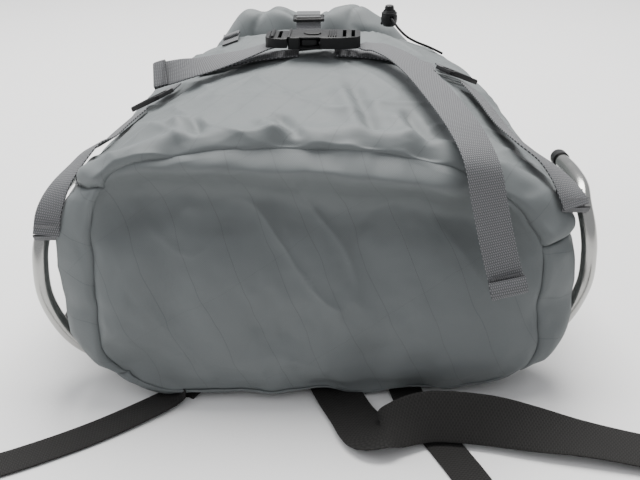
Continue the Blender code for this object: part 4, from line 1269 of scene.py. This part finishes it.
def make_back():
    pad_grid("back_cushion", (-0.04, 0.0755), (0.04, 0.3145), 0.0002, 0.019, ["back_pad"])
    for side, name in ((-1, "left"), (1, "right")):
        path = [(0.068, 0.358), (0.074, 0.33), (0.088, 0.26), (0.094, 0.18), (0.09, 0.12), (0.087, 0.091)]
        path = [(side * x, y) for x, y in path]
        shoulder_pad(f"shoulder_cushion_{name}", path, 0.053, [f"shoulder_strap_{name}"])


def pad_grid(name, low, high, bottom, top, nodes):
    """A crowned pad with sewn channels across it and a bound edge."""
    columns, rows = 44, 120
    xs, ys = np.linspace(-1, 1, columns), np.linspace(-1, 1, rows)
    u, v = np.meshgrid(xs, ys)
    cx, cy = (low[0] + high[0]) / 2, (low[1] + high[1]) / 2
    hx, hy = (high[0] - low[0]) / 2, (high[1] - low[1]) / 2
    round_off = np.sqrt(np.clip(1 - np.clip((np.abs(u) - 0.72) / 0.28, 0, 1) ** 2 * 0.1, 0, 1))
    px, py = cx + u * hx, cy + v * hy * round_off
    edge = np.minimum((1 - np.abs(u)) * hx, (1 - np.abs(v)) * hy)
    crown = 1 - np.exp(-edge / 0.0065)
    channel = np.zeros_like(u)
    for at in (-0.5, 0.0, 0.5):
        channel = np.maximum(channel, np.exp(-(((v - at) * hy / 0.003) ** 2)))
    middle = (bottom + top) / 2
    half = (top - bottom) / 2
    thick = 0.0016 + (half - 0.0016) * crown * (1 - 0.45 * channel)
    skins = [np.stack([px, py, middle + thick], -1), np.stack([px, py, middle - thick * 0.98], -1)]
    closed_pad(name, skins, u, v, hx, hy, nodes)


def closed_pad(name, skins, u, v, hx, hy, nodes):
    rows, columns = u.shape
    upper, lower = (skin.reshape(-1, 3) for skin in skins)
    points = np.concatenate([upper, lower])
    count = rows * columns
    faces = grid_faces(rows, columns)
    faces = faces + [tuple(i + count for i in face[::-1]) for face in faces]
    ring = [c for c in range(columns)] + [r * columns + columns - 1 for r in range(1, rows)]
    ring += [(rows - 1) * columns + c for c in range(columns - 2, -1, -1)]
    ring += [r * columns for r in range(rows - 2, 0, -1)]
    for a, b in zip(ring, ring[1:] + ring[:1]):
        faces.append((a, b, b + count, a + count))
    flat = np.stack([u * hx, v * hy], -1).reshape(-1, 2)
    obj = new_object(name, points, faces, MESH_CLOTH, np.concatenate([flat, flat]))
    fix_normals(obj)
    attach(obj, "pack", nodes)
    binding = (upper[ring] + lower[ring]) / 2
    tube(name + "_binding", np.vstack([binding[::3], binding[:1]]), 0.0013, WEB_BLACK, "pack", 8, 0.004,
         cap=False)


def shoulder_pad(name, path, width, nodes):
    rows = [(x, y, 0.0095, 1, 0, 0) for x, y in path]
    centres, across, out, _, along = ribbon_frame(rows, 0.003)
    columns = 30
    us = np.linspace(-1, 1, columns)
    vs = np.linspace(-1, 1, len(centres))
    u, v = np.meshgrid(us, vs)
    half = width / 2
    length = along[-1]
    shape = 1 - 0.1 * np.clip((np.abs(v) - 0.9) / 0.1, 0, 1) ** 2
    plan = centres[:, None, :] + across[:, None, :] * (u * half * shape)[..., None]
    edge = np.minimum((1 - np.abs(u)) * half, (1 - np.abs(v)) * length / 2)
    crown = 1 - np.exp(-edge / 0.005)
    channel = np.exp(-(((np.abs(u) - 0.55) * half / 0.0022) ** 2))
    thick = 0.0012 + 0.0046 * crown * (1 - 0.4 * channel)
    up = np.array((0, 0, 1.0))
    skins = [plan + up * thick[..., None], plan - up * thick[..., None]]
    closed_pad(name, skins, u, v, half, length / 2, nodes)


def dress_remaining():
    """Gives every CAD node that still shows its own finish."""
    finishes = {"back_foam_sheet": FOAM, "cord_lock_spring": STEEL}
    for name, material in finishes.items():
        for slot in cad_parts[name].material_slots:
            slot.material = material


CLOTH = pack_cloth("pack_cloth")
WEB_GREY = webbing_material("webbing_grey", (0.132, 0.134, 0.139), 0.18, 1.85)
WEB_BLACK = webbing_material("webbing_black", (0.015, 0.0142, 0.0135), 0.45, 1.5, 0.0012, 0.004)
PLASTIC = plastic_material("plastic_black")
ALUMINIUM = metal_material("aluminium_tube", (0.4, 0.4, 0.385), 0.26)
THREAD = webbing_material("thread", (0.2, 0.2, 0.205), 0.7, 1.3)
STEEL = metal_material("steel", (0.62, 0.61, 0.6), 0.3)
FOAM = mesh_material("closed_foam", (0.05, 0.05, 0.052))
MESH_CLOTH = mesh_material("spacer_mesh")
CORD = webbing_material("cord_cover", (0.022, 0.022, 0.023), 0.6, 1.5, 0.001, 0.001)

make_camera()
make_cord()
make_studio()
make_body()
make_side_straps()
make_front_straps()
make_harness_webbing()
make_hoop()
make_collar()
make_roll()
make_stiffener()
make_top_strap()
make_buckles()
make_locks()
make_cord_lock()
make_back()
dress_remaining()
